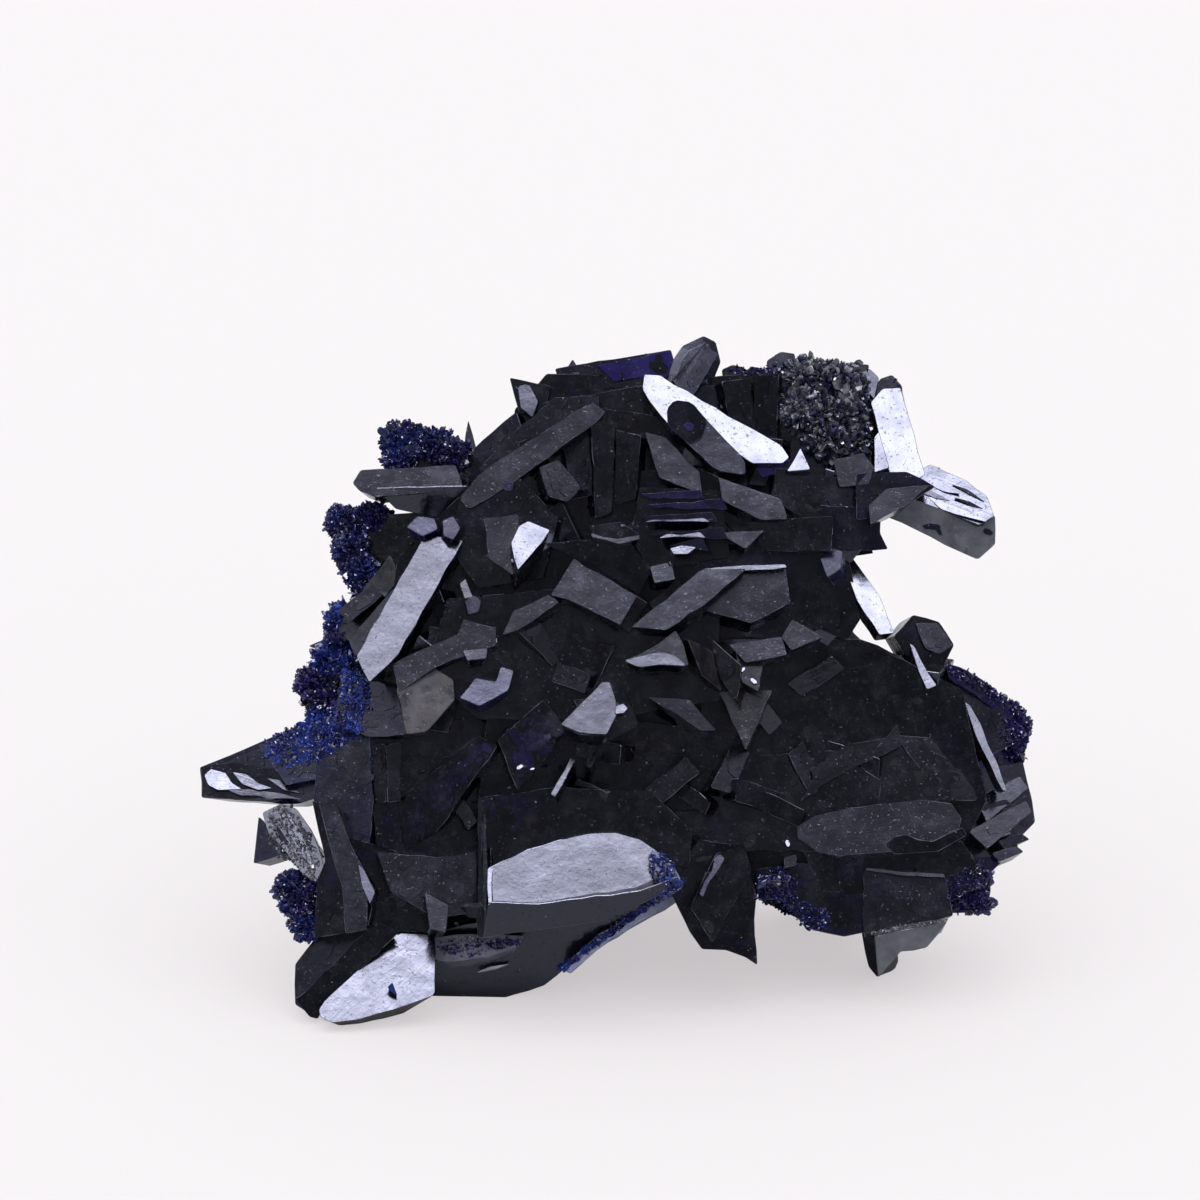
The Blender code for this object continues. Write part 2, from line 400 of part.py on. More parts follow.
def dark_fields(growth):
    """Dark crystals that crowd the gaps between the drawn ones, in rows with a seeded scatter."""
    source = random.Random(19)
    fields = [  # left and right, top and bottom, columns, rows, distance out
        ((470, 870), (440, 560), 5, 2, -0.7),
        ((410, 700), (600, 700), 5, 2, 0.3),
        ((400, 700), (735, 840), 4, 2, -0.1),
        ((710, 950), (670, 850), 4, 3, 0.2),
        ((355, 470), (570, 730), 2, 4, -0.4),
    ]
    blade = [(-1, -0.6), (-0.75, 1), (1, 0.5), (0.8, -1)]
    for field, ((left, right), (top, bottom), columns, rows, out) in enumerate(fields):
        for n in range(columns * rows):
            column, row = n % columns, n // columns
            x = left + (right - left) * (column + source.uniform(0.1, 0.9)) / columns
            y = top + (bottom - top) * (row + source.uniform(0.1, 0.9)) / rows
            long, wide = source.uniform(38, 66), source.uniform(16, 30)
            tilt = source.choice((-1, 1)) * math.radians(source.uniform(15, 75))
            along = Vector((math.cos(tilt), math.sin(tilt)))
            beside = Vector((-along.y, along.x))
            outline = [Vector((x, y)) + along * a * long / 2 + beside * b * wide / 2 for a, b in blade]
            crystal(growth, f"field_{field}_{n}", outline, out + source.uniform(-0.3, 0.8),
                    source.uniform(-14, 14), source.uniform(-30, 30), 4.5)


def hidden_from_front(tip):
    """Whether a point in the elevation's frame lies behind the drawn crystals, clear of the right notch."""
    x = tip.x / UNIT + DRAWING_MIDDLE
    y = GROUND_LINE - tip.y / UNIT
    notch_left, notch_foot = 850, 660
    in_notch = x > notch_left and y < notch_foot
    middle_x, middle_y = 640, 660
    reach_x = 320
    reach_y = 235 if y > middle_y else 265
    return not in_notch and ((x - middle_x) / reach_x) ** 2 + ((y - middle_y) / reach_y) ** 2 < 1.0


def blade(growth, name, size, matrix, pointed):
    """A rear crystal: a rectangular blade of a width, a thickness and a length, with bevels if pointed."""
    wide, thick, long = size
    bm = bmesh.new()
    bmesh.ops.create_cube(bm, size=1.0)
    bmesh.ops.transform(bm, matrix=Matrix.Diagonal((wide, thick, long, 1.0)), verts=bm.verts)
    if pointed:
        ends = [f for f in bm.faces if f.normal.z > 0.9]
        bmesh.ops.inset_region(bm, faces=ends, thickness=thick * 0.36, depth=thick * 0.6)
    bm.transform(matrix)
    add_object(name, bm, growth)


def rear(growth):
    """Broad blades that spread from the trunk over the upper back."""
    source = random.Random(7)
    heart = on_elevation(650, 690) + Vector((0, 0, -10.0))
    spread = Vector((14.5, 10.5, 6.5))
    blades = 32
    for n in range(blades):
        height = 1.0 - 1.1 * (n + 0.5) / blades
        around = n * math.radians(137.5)
        level = math.sqrt(1.0 - height * height)
        outward = Vector((level * math.cos(around), level * math.sin(around), -height))
        seat = heart + Vector(a * b for a, b in zip(outward, spread)) * source.uniform(0.9, 1.05)
        sway = Vector(source.uniform(-0.7, 0.7) for _ in range(3))
        axis = (outward + sway).normalized()
        long, wide = source.uniform(8.0, 13.0), source.uniform(4.5, 8.0)
        thick = source.uniform(1.8, 3.4)
        spin = Matrix.Rotation(source.uniform(0, math.pi), 4, "Z")
        if hidden_from_front(seat + axis * long * 0.3):
            stand = axis.to_track_quat("Z", "Y").to_matrix().to_4x4()
            place = Matrix.Translation(seat - axis * long * 0.25) @ stand @ spin
            blade(growth, f"rear_blade_{n}", (wide, thick, long), place, n % 3 == 0)


def rear_skirt(growth):
    """Blades in three tiers round the lower back. The lowest tier reaches the ground and carries the back."""
    source = random.Random(31)
    upright = ELEVATION_FRAME.inverted().to_4x4()
    heart = Vector((1.5, 12.0, 0.0))  # mm across and back from the elevation's foot
    tiers = [  # height, sideways and rearward reach, then how far the blades lean out from upright
        (13.5, 16.0, 10.5, 62),
        (8.0, 16.5, 9.5, 84),
        (3.4, 14.5, 8.0, 128),
    ]
    blades = 6
    for tier, (height, sideways, rearward, lean) in enumerate(tiers):
        for n in range(blades):
            place_in_tier = (n + 0.5 * (tier % 2) + source.uniform(-0.2, 0.2)) / (blades - 0.5)
            around = math.radians(-80 + 160 * place_in_tier)
            outward = Vector((math.sin(around), math.cos(around), 0))
            level = height + source.uniform(-1.2, 1.2)
            seat = heart + Vector((outward.x * sideways, outward.y * rearward, level))
            tilt = math.radians(lean + source.uniform(-18, 18))
            axis = outward * math.sin(tilt) + Vector((source.uniform(-0.4, 0.4), 0, math.cos(tilt)))
            size = (source.uniform(4.5, 7.5), source.uniform(2.0, 3.4), source.uniform(8.5, 12.0))
            spin = Matrix.Rotation(source.uniform(0, math.pi), 4, "Z")
            stand = axis.to_track_quat("Z", "Y").to_matrix().to_4x4()
            place = upright @ Matrix.Translation(seat - axis.normalized() * size[2] * 0.3) @ stand @ spin
            blade(growth, f"skirt_{tier}_{n}", size, place, (n + tier) % 3 == 0)


def azurite():
    """Near-black blue with a glassy lustre."""
    material = bpy.data.materials.new("azurite")
    material.use_nodes = True
    shader = material.node_tree.nodes["Principled BSDF"]
    shader.inputs["Base Color"].default_value = (0.010, 0.012, 0.035, 1.0)
    shader.inputs["Roughness"].default_value = 0.12
    shader.inputs["Metallic"].default_value = 0.0
    shader.inputs["IOR"].default_value = 1.76
    return material


def largest_body(bm):
    """Deletes all but the largest connected body, which fills the sealed pockets between the crystals."""
    unseen = set(bm.verts)
    bodies = []
    while unseen:
        body = {unseen.pop()}
        edge = list(body)
        while edge:
            near = {e.other_vert(v) for v in edge for e in v.link_edges} & unseen
            unseen -= near
            body |= near
            edge = list(near)
        bodies.append(body)
    keep = max(bodies, key=len)
    bmesh.ops.delete(bm, geom=[v for v in bm.verts if v not in keep], context="VERTS")


def join(growth):
    """One solid of all the crystals, ground flat at its lowest tips and centred on the origin."""
    first = growth.objects[0]
    growth.objects.unlink(first)
    bpy.context.scene.collection.objects.link(first)
    union = first.modifiers.new("grown_together", "BOOLEAN")
    union.operation = "UNION"
    union.operand_type = "COLLECTION"
    union.collection = growth
    union.solver = "EXACT"
    evaluated = first.evaluated_get(bpy.context.evaluated_depsgraph_get())
    bm = bmesh.new()
    bm.from_mesh(bpy.data.meshes.new_from_object(evaluated))
    for obj in [first, *growth.objects]:
        bpy.data.objects.remove(obj)
    bpy.data.collections.remove(growth)
    largest_body(bm)
    ground = Vector((0, 0, GROUND_CUT * MM))
    cut = bmesh.ops.bisect_plane(bm, geom=[*bm.verts, *bm.edges, *bm.faces], dist=1e-7, plane_co=ground,
                                 plane_no=(0, 0, -1), clear_outer=True)
    rim = [e for e in cut["geom_cut"] if isinstance(e, bmesh.types.BMEdge)]
    bmesh.ops.triangle_fill(bm, edges=rim, use_beauty=True)
    bmesh.ops.dissolve_limit(bm, angle_limit=FLAT_ANGLE, verts=bm.verts, edges=bm.edges)
    bmesh.ops.triangulate(bm, faces=bm.faces)
    low = [min(v.co[i] for v in bm.verts) for i in range(3)]
    high = [max(v.co[i] for v in bm.verts) for i in range(3)]
    shift = Vector((-(low[0] + high[0]) / 2, -(low[1] + high[1]) / 2, -low[2]))
    bmesh.ops.translate(bm, verts=bm.verts, vec=shift)
    bmesh.ops.recalc_face_normals(bm, faces=bm.faces)
    mesh = bpy.data.meshes.new("azurite_cluster")
    bm.to_mesh(mesh)
    bm.free()
    cluster = bpy.data.objects.new("azurite_cluster", mesh)
    bpy.context.scene.collection.objects.link(cluster)
    cluster.data.materials.append(azurite())
    return cluster


def build():
    """The whole specimen."""
    for obj in list(bpy.data.objects):
        bpy.data.objects.remove(obj, do_unlink=True)
    growth = bpy.data.collections.new("growth")
    bpy.context.scene.collection.children.link(growth)
    trunk(growth)
    summit(growth)
    right_wing(growth)
    left_flank(growth)
    left_foot(growth)
    centre_upper(growth)
    centre_lower(growth)
    right_body(growth)
    base(growth)
    dark_fields(growth)
    rear(growth)
    rear_skirt(growth)
    join(growth)


build()
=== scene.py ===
"""Azurite specimen: a cluster of near-black blue tabular crystals with blue druse, finished for display."""

import json
import math
import random

import bmesh
import bpy
from mathutils import Matrix, Vector, noise
from mathutils.bvhtree import BVHTree

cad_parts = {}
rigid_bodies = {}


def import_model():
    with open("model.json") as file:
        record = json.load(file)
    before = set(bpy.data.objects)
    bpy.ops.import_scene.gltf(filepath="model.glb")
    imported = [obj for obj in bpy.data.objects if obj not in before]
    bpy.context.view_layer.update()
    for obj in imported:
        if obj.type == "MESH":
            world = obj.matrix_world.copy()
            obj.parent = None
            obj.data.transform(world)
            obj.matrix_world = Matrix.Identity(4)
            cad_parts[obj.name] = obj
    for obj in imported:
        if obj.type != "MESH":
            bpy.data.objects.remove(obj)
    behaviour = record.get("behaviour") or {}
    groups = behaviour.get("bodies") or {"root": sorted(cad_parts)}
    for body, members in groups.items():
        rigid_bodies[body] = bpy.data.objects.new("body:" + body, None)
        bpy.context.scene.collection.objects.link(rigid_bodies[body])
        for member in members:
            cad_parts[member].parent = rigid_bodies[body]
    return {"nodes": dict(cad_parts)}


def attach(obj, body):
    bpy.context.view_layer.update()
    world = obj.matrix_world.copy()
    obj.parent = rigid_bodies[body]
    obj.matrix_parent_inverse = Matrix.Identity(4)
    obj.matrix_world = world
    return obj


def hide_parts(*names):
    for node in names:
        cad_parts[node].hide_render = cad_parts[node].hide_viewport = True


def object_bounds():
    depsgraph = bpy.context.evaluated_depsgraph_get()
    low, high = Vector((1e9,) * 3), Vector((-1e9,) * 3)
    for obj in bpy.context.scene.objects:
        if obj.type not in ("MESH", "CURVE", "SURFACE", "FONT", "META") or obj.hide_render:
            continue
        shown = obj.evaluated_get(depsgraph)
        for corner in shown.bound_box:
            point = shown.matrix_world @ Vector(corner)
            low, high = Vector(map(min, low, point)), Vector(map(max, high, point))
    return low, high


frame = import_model()
cad_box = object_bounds()

# ---------------------------------------------------------------------------------------------------------
# Trunk: the thick crystals at the middle, from which the others grew outwards.
# Azurite, a copper carbonate, grown in a cavity as tabular crystals that cut into each other where they met.
# Their broad faces are smooth and glassy, with faint growth lines, and their edges are slightly bevelled,
# with rubbing and a painted highlight along them.

MM = 0.001
WIDTH = 52.0  # mm, of the whole cluster
DRAWN_WIDTH = 835  # drawing units
UNIT = WIDTH / DRAWN_WIDTH  # mm to a drawing unit
DRAWING_MIDDLE = 617.5
GROUND_LINE = 1022
DISPLAY_TILT = math.radians(20.0)  # the elevation that the crystals are drawn on leans back by this angle
ELEVATION_FOOT = Vector((-0.0675, -12.998, -0.35))  # mm, where the foot of the elevation stands in the frame
RIGHTWARD = Vector((1, 0, 0))
UPWARD = Vector((0, math.sin(DISPLAY_TILT), math.cos(DISPLAY_TILT)))
OUTWARD = Vector((0, -math.cos(DISPLAY_TILT), math.sin(DISPLAY_TILT)))
FROM_ELEVATION = Matrix.Translation(ELEVATION_FOOT * MM) @ Matrix.Scale(MM, 4)
FROM_ELEVATION = FROM_ELEVATION @ Matrix((RIGHTWARD, UPWARD, OUTWARD)).transposed().to_4x4()
TAPER = 0.84  # how much narrower a crystal's back is than its broad face
EDGE_BEVEL = 0.035  # mm, the width of the bevelled strip along an edge, painted paler as rubbing and as a highlight
grown = []


def on_elevation(x, y):
    """A drawing point as millimetres across, up and out of the elevation."""
    return Vector(((x - DRAWING_MIDDLE) * UNIT, (GROUND_LINE - y) * UNIT, 0))


def dome(x, y):
    """How far back the domed front of the cluster lies at a drawing point, in mm, apart from the feet."""
    middle, half_width = 620, 400
    shoulder, rise = 730, 380
    knee, shin = 930, 130
    depth = 4.5
    sideways = (x - middle) / half_width
    upwards = max(0.0, (shoulder - y) / rise)
    above_feet = min(1.0, max(0.0, (knee - y) / shin))
    return -depth * (sideways**2 * above_feet + upwards**2)


def facing(lean, turn):
    """The direction, in the elevation's frame, of a face that leans up and turns right by so many degrees."""
    lean, turn = math.radians(lean), math.radians(turn)
    return Vector((math.sin(turn) * math.cos(lean), math.sin(lean), math.cos(turn) * math.cos(lean)))


def begin_growth(name):
    """A new empty piece in edit mode, with the marks that the crystal finishes read from its faces."""
    bpy.ops.object.select_all(action="DESELECT")
    bpy.ops.object.add(type="MESH")
    piece = bpy.context.object
    piece.name = name
    piece.data.name = name
    piece.data.uv_layers.new(name="growth")
    piece.data.attributes.new("tint", "FLOAT_VECTOR", "FACE")
    piece.data.attributes.new("wear_and_sheen", "FLOAT_VECTOR", "FACE")
    bpy.ops.object.mode_set(mode="EDIT")
    return piece


def select_only(piece, wanted):
    """Selects the faces of the piece in edit mode that are wanted, and nothing else."""
    bm = bmesh.from_edit_mesh(piece.data)
    chosen = [f for f in bm.faces if wanted(f)]
    for face in bm.faces:
        face.select_set(False)
    for face in chosen:
        face.select_set(True)
    bmesh.update_edit_mesh(piece.data)


def mark(bm, faces, growth_axis, flat_axis, tint, wear_and_sheen, offset):
    """Writes the finish of some faces, and a map in mm that runs along the crystal's growth lines."""
    tints, wears = bm.faces.layers.float_vector["tint"], bm.faces.layers.float_vector["wear_and_sheen"]
    uv = bm.loops.layers.uv["growth"]
    across = flat_axis.cross(growth_axis)
    for face in faces:
        face[tints] = tint
        face[wears] = wear_and_sheen
        for loop in face.loops:
            point = loop.vert.co / MM
            loop[uv].uv = (point.dot(growth_axis) + offset, point.dot(across) + point.dot(flat_axis) + offset)


scatter = random.Random(3)


def bevel_edges_with_highlight(piece, growth_axis, flat_axis, tint, frost_and_sheen, lined):
    """Gives the crystal its finish and bevels a narrow strip off each edge, painted paler as rubbing and
    highlight.
    """
    bm = bmesh.from_edit_mesh(piece.data)
    grown_faces = [f for f in bm.faces if f.select]
    normals = [f.normal.copy() for f in grown_faces]
    offset = scatter.uniform(0, 40)
    mark(bm, grown_faces, growth_axis, flat_axis, tint, (0.0, frost_and_sheen, lined), offset)
    bmesh.update_edit_mesh(piece.data)
    bpy.ops.mesh.bevel(offset=EDGE_BEVEL * MM, segments=1, affect="EDGES", clamp_overlap=True)
    bm = bmesh.from_edit_mesh(piece.data)
    same_way = 0.97  # cosine between faces that count as parallel
    edge_strips = [f for f in bm.faces if f.select and max(f.normal.dot(n) for n in normals) < same_way]
    mark(bm, edge_strips, growth_axis, flat_axis, tint, (1.0, frost_and_sheen, lined), offset)
    bmesh.update_edit_mesh(piece.data)


def weathered(outline, rounded):
    """A drawn outline with its corners cut back and its sides broken into short, slightly uneven lengths."""
    most_cut, step_length, unevenness = 1.3, 15, 0.5  # drawing units
    corners, uneven = [], []
    for n, here in enumerate(outline):
        for beside in (outline[n - 1], outline[(n + 1) % len(outline)]):
            side = beside - here
            cut = min(0.12 * side.length, most_cut) + rounded * side.length
            corners.append(here + side.normalized() * cut)
    for here, after in zip(corners, corners[1:] + corners[:1]):
        side = after - here
        steps = max(1, round(side.length / step_length))
        across = Vector((-side.y, side.x)).normalized()
        for k in range(steps):
            sway = scatter.gauss(0, unevenness) if k else 0.0
            uneven.append(here + side * (k / steps) + across * sway)
    return uneven


def crystal(name, outline, out, lean=0, turn=0, thick=2.0, rim=0.0, taper=TAPER, blue=0.0, violet=0.0,
            coat=0.0, frost_and_sheen=0.0, lined=0.25, rounded=0.0):
    """A tabular crystal whose broad face lies on a tilted plane and covers the drawn outline.

    The name is not used; it only tells which crystal it is. The face's middle lies `out` mm in front of the
    dome, it leans up and turns right by degrees, and the crystal is so many mm thick. A rim is bevel faces of
    that width in mm.
    Blue, violet, the tan coat, the growth lines and the rounding of the corners run from 0 to 1, and the
    frosting, which is partly etching and partly painted sheen where a face should mirror the lamp, from 0 to
    2, where it is pale all over.
    """
    piece = bpy.context.object
    normal = facing(lean, turn)
    points = [on_elevation(x, y) for x, y in outline]
    middle = sum(points, Vector()) / len(points)
    sides = [b - a for a, b in zip(points, points[1:] + points[:1])]
    longest = max(sides, key=lambda side: side.length)
    points = [on_elevation(*p) for p in weathered([Vector(p) for p in outline], rounded)]
    seat = out + dome(middle.x / UNIT + DRAWING_MIDDLE, GROUND_LINE - middle.y / UNIT)
    drop = rim * 0.6  # how much lower than the broad face a rim's outer edge lies
    bpy.ops.mesh.select_all(action="DESELECT")
    bpy.ops.mesh.primitive_circle_add(vertices=len(points), radius=MM, fill_type="NGON")
    bm = bmesh.from_edit_mesh(piece.data)
    face = next(f for f in bm.faces if f.select)
    for corner, p in zip(list(face.verts), points):
        depth = seat - normal.xy.dot(p.xy - middle.xy) / normal.z
        corner.co = FROM_ELEVATION @ (Vector((p.x, p.y, depth)) - normal * drop)
    towards = (FROM_ELEVATION.to_3x3() @ normal).normalized()
    face.normal_update()
    if face.normal.dot(towards) < 0:
        face.normal_flip()
    longest.z = -normal.xy.dot(longest.xy) / normal.z
    along = (FROM_ELEVATION.to_3x3() @ longest).normalized()
    bmesh.update_edit_mesh(piece.data)
    shift = -towards * (thick - drop) * MM
    bpy.ops.mesh.extrude_region_move(TRANSFORM_OT_translate={"value": shift})
    middle_behind = FROM_ELEVATION @ Vector((middle.x, middle.y, seat)) - towards * thick * MM
    bpy.ops.transform.resize(value=(taper, taper, taper), center_override=middle_behind)
    bpy.ops.mesh.select_linked()
    bpy.ops.mesh.normals_make_consistent(inside=False)
    if rim:
        select_only(piece, lambda f: f.select and f.normal.dot(towards) > 0.999)
        bpy.ops.mesh.inset(thickness=rim * MM, depth=drop * MM)
        bpy.ops.mesh.select_linked()
    bevel_edges_with_highlight(piece, along, towards, (blue, violet, coat), frost_and_sheen, lined)


def end_growth(piece):
    """Grinds the piece flat where it stands, trims any tip outside the cluster's box, and fixes it there."""
    clearance = 0.02 * MM
    for axis in range(3):
        for side in (-1, 1):
            plane = Vector((0, 0, 0))
            plane[axis] = side
            underside = axis == 2 and side < 0
            limit = cad_box[0 if side < 0 else 1] - plane * (0.0 if underside else clearance)
            bpy.ops.mesh.select_all(action="SELECT")
            bpy.ops.mesh.bisect(plane_co=limit, plane_no=plane, use_fill=True, clear_outer=True,
                                threshold=1e-7)
    bpy.ops.object.mode_set(mode="OBJECT")
    piece.data.materials.append(azurite)
    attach(piece, "root")
    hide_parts("azurite_cluster")
    grown.append(piece)


def linear(colour):
    """An sRGB hex colour as the linear colour that the shaders take."""
    parts = [int(colour[i : i + 2], 16) / 255 for i in (0, 2, 4)]
    return tuple(c / 12.92 if c <= 0.04045 else ((c + 0.055) / 1.055) ** 2.4 for c in parts) + (1.0,)


def node(tree, kind, inputs=None, **settings):
    """Adds a node with its settings, and fills its inputs from values or from other nodes' sockets."""
    added = tree.nodes.new(kind)
    for key, value in settings.items():
        setattr(added, key, value)
    for key, value in (inputs or {}).items():
        if isinstance(value, bpy.types.NodeSocket):
            tree.links.new(value, added.inputs[key])
        else:
            added.inputs[key].default_value = value
    return added


def new_material(name):
    """A material with nothing in it but its shader."""
    material = bpy.data.materials.new(name)
    material.use_nodes = True
    return material, material.node_tree, material.node_tree.nodes["Principled BSDF"]


def noise_of(tree, place, scale, detail, roughness=0.5, **settings):
    """A cloudy pattern around 0.5, with so many clouds to the unit of its place."""
    inputs = {"Vector": place, "Scale": scale, "Detail": detail, "Roughness": roughness}
    return node(tree, "ShaderNodeTexNoise", inputs, **settings).outputs["Fac"]


def stretched(tree, value, low, high, to_low, to_high):
    """A value between low and high, stretched to another range and held within it."""
    return node(tree, "ShaderNodeMapRange", {0: value, 1: low, 2: high, 3: to_low, 4: to_high}).outputs[0]


def times(tree, value, factor, held=True):
    """A product, held between 0 and 1 unless told otherwise."""
    product = node(tree, "ShaderNodeMath", {0: value, 1: factor}, operation="MULTIPLY", use_clamp=held)
    return product.outputs[0]


def raised(tree, value, share, by):
    """A value raised by a share of an amount."""
    return node(tree, "ShaderNodeMath", {0: share, 1: by, 2: value}, operation="MULTIPLY_ADD").outputs[0]


def laid_over(tree, under, share, colour):
    """A colour laid over another by a share from 0 to 1."""
    return node(tree, "ShaderNodeMix", {0: share, 6: under, 7: linear(colour)}, data_type="RGBA").outputs[2]


def relief_of(tree, height, depth, under=None, **settings):
    """A relief of a depth in metres, over another relief."""
    inputs = {"Height": height, "Distance": depth, "Strength": 1.0}
    if under:
        inputs["Normal"] = under
    return node(tree, "ShaderNodeBump", inputs, **settings).outputs[0]


def marks_of(tree, name):
    """The three parts of one of the marks that every face carries."""
    mark_value = node(tree, "ShaderNodeAttribute", attribute_name=name).outputs["Vector"]
    return node(tree, "ShaderNodeSeparateXYZ", {0: mark_value}).outputs


# Glassy azurite as it grew. It is so deep a blue that thick crystals look black, and what the eye sees is the
# lustre: broad soft reflections, broken by growth lines some 0.2 mm apart, by pits and by a thin dust film.
# Thin places let the blue or violet through, and an iron stain coats a few faces. Edges are painted paler,
# partly as rubbing and partly as a painted highlight; frosting is partly etching and partly painted sheen,
# and fine pale specks are painted glints.
azurite, tree, shader = new_material("azurite_crystal")
place = node(tree, "ShaderNodeTexCoord").outputs["Object"]
blueness, violetness, stained = marks_of(tree, "tint")
edge_strips, frosting_and_sheen, lined = marks_of(tree, "wear_and_sheen")
growth_map = node(tree, "ShaderNodeUVMap", uv_map="growth").outputs["UV"]
lines_map = node(tree, "ShaderNodeVectorMath", {0: growth_map, 1: (0.16, 4.5, 1.0)}, operation="MULTIPLY")
lines = noise_of(tree, lines_map.outputs[0], 1.0, 3.0, 0.6, noise_dimensions="2D")
cloud = noise_of(tree, place, 900.0, 4.0, 0.6)
broad = noise_of(tree, place, 350.0, 1.0)
grain = noise_of(tree, place, 5200.0, 2.0, 0.7)
pits = stretched(tree, grain, 0.64, 0.72, 0.0, 1.0)
mottle = noise_of(tree, place, 620.0, 5.0, 0.7)
dust = stretched(tree, mottle, 0.45, 0.66, 0.0, 1.0)
body = laid_over(tree, linear("030307"), dust, "0e0f16")
# Frosting painted pale: partly etching, partly painted sheen where a face should mirror the lamp.
body = laid_over(tree, body, times(tree, frosting_and_sheen, cloud), "a6a8b4")
blue_share = times(tree, times(tree, blueness, cloud, held=False), 0.9)
body = laid_over(tree, body, blue_share, "192d88")
violet_share = times(tree, times(tree, violetness, cloud, held=False), 0.8)
body = laid_over(tree, body, violet_share, "230f7a")
stain = times(tree, stained, stretched(tree, cloud, 0.34, 0.56, 0.0, 1.0))
body = laid_over(tree, body, stain, "544d41")
# Edge strips painted paler: partly rubbing, partly a painted highlight along the edges.
edge_wear_and_highlight = times(tree, edge_strips, stretched(tree, cloud, 0.47, 0.62, 0.0, 0.8), held=False)
body = laid_over(tree, body, edge_wear_and_highlight, "4b4e5c")
# Painted glints: fine pale specks stand in for sparkles of light on tiny facets.
painted_glints = stretched(tree, noise_of(tree, place, 3600.0, 1.0), 0.755, 0.79, 0.0, 0.4)
body = laid_over(tree, body, painted_glints, "888b95")
tree.links.new(body, shader.inputs["Base Color"])
roughness = stretched(tree, mottle, 0.35, 0.65, 0.10, 0.30)
roughness = raised(tree, roughness, frosting_and_sheen, 0.35)
roughness = raised(tree, roughness, stain, 0.45)
tree.links.new(roughness, shader.inputs["Roughness"])
relief = relief_of(tree, broad, 5.0e-5)
relief = relief_of(tree, times(tree, lines, lined, held=False), 9.0e-6, relief)
relief = relief_of(tree, cloud, 2.4e-5, relief)
relief = relief_of(tree, pits, 8.0e-6, relief, invert=True)
tree.links.new(relief, shader.inputs["Normal"])
shader.inputs["IOR"].default_value = 1.76
shader.inputs["Specular IOR Level"].default_value = 0.36
shader.inputs["Specular Tint"].default_value = (0.78, 0.82, 1.0, 1.0)

piece = begin_growth("trunk")
crystal("trunk_top", [(510, 470), (545, 405), (640, 388), (760, 388), (865, 410), (875, 500), (840, 560),
        (600, 600), (520, 560)], -3.0, 6, 0, 9.0, taper=0.5)
crystal("trunk_middle", [(400, 560), (480, 480), (700, 470), (845, 540), (860, 620), (800, 720), (500, 740),
        (380, 700)], -2.4, 0, 0, 14.0, taper=0.55)
crystal("trunk_bottom", [(345, 700), (500, 640), (860, 640), (960, 690), (985, 800), (940, 885), (720, 895),
        (480, 900), (350, 850)], -1.8, -3, 0, 14.0, taper=0.66)
end_growth(piece)

# ---------------------------------------------------------------------------------------------------------
# Summit: the ridge along the top, with its apex and the long bright rail below it.
# Azurite blades that had the most room to grow: the longest of the cluster, each flat and straight-sided.
# The rail's face is turned to the lamp and shines; where it is thin, the ridge shows its violet blue.

piece = begin_growth("summit")
crystal("apex", [(675, 360), (684, 347), (705, 337), (717, 343), (722, 363), (712, 390), (668, 390)], -2.0,
        16, 8, 4.5, rim=0.5, violet=0.08)
crystal("apex_ridge", [(708, 350), (719, 356), (692, 402), (674, 392)], -0.9, 15, 22, 2.2, violet=0.12)
crystal("ridge_beam", [(556, 371), (672, 352), (677, 380), (640, 392), (562, 388)], -3.0, 6, -4, 3.0,
        violet=0.04)
crystal("ridge_violet", [(598, 368), (672, 353), (676, 366), (668, 380), (640, 380), (616, 384)], -2.6, 4,
        -2, 1.2, blue=0.1, violet=0.9)
crystal("ridge_tooth", [(565, 376), (574, 361), (583, 376)], -3.2, 12, 10, 1.4)
crystal("ridge_body", [(516, 412), (548, 376), (650, 378), (655, 420), (600, 440), (516, 446)], -3.6, 2, 3,
        7.0)
crystal("corner_crystal", [(511, 380), (552, 388), (547, 412), (521, 417)], -2.4, 4, -10, 2.6)
crystal("corner_streak", [(519, 389), (530, 385), (540, 404), (534, 420), (522, 410)], -2.2, 20, -6, 1.6,
        violet=0.1)
crystal("bright_rail", [(645, 377), (661, 378), (702, 403), (781, 448), (789, 460), (782, 466), (752, 466),
        (700, 432), (672, 431), (650, 404), (643, 392)], 1.0, 30, 2, 1.6)
crystal("rail_root", [(750, 464), (790, 462), (788, 474), (762, 480)], 0.8, 4, 0, 2.5, violet=0.9)
crystal("thumb", [(668, 412), (675, 404), (692, 406), (745, 462), (746, 478), (716, 473), (690, 448),
        (668, 428)], 1.7, 16, 4, 1.6, violet=0.02, rounded=0.1)
crystal("thumb_tip", [(667, 412), (675, 403), (692, 405), (708, 424), (703, 440), (690, 448), (668, 428)],
        2.2, 2, 2, 0.9, violet=0.03, rounded=0.1)
crystal("thumb_spot", [(683, 428), (688, 425), (695, 428), (692, 434), (686, 433)], 2.25, 4, 0, 0.6,
        violet=0.6)
crystal("dark_block", [(705, 380), (780, 371), (792, 388), (790, 462), (740, 445), (700, 405)], -1.9, 4, -12,
        6.0)
crystal("dark_block_step", [(722, 384), (752, 381), (752, 434), (728, 420)], -0.9, 3, 22, 2.5)
crystal("dark_block_rib", [(753, 378), (779, 376), (777, 444), (757, 436)], -0.8, 1, -18, 2.5)
crystal("ridge_bump_left", [(722, 372), (733, 367), (745, 370), (748, 384), (724, 386)], -2.2, 10, -15, 2.0)
crystal("ridge_bump_right", [(744, 374), (755, 369), (767, 372), (768, 388), (746, 388)], -2.0, 13, 20, 2.0)
crystal("steel_block", [(767, 363), (781, 354), (795, 356), (796, 386), (768, 387)], -1.7, 14, -8, 3.0,
        blue=0.06)
end_growth(piece)

# ---------------------------------------------------------------------------------------------------------
# Right wing: the seat of the sparkling lump, the upright bright plate, and the long arm and the beak.
# Azurite plates that grew outwards past the others into free space, so that they stand off from the body.
# The arm's upper side is stepped and streaked along its length, where growth stopped and went on again.

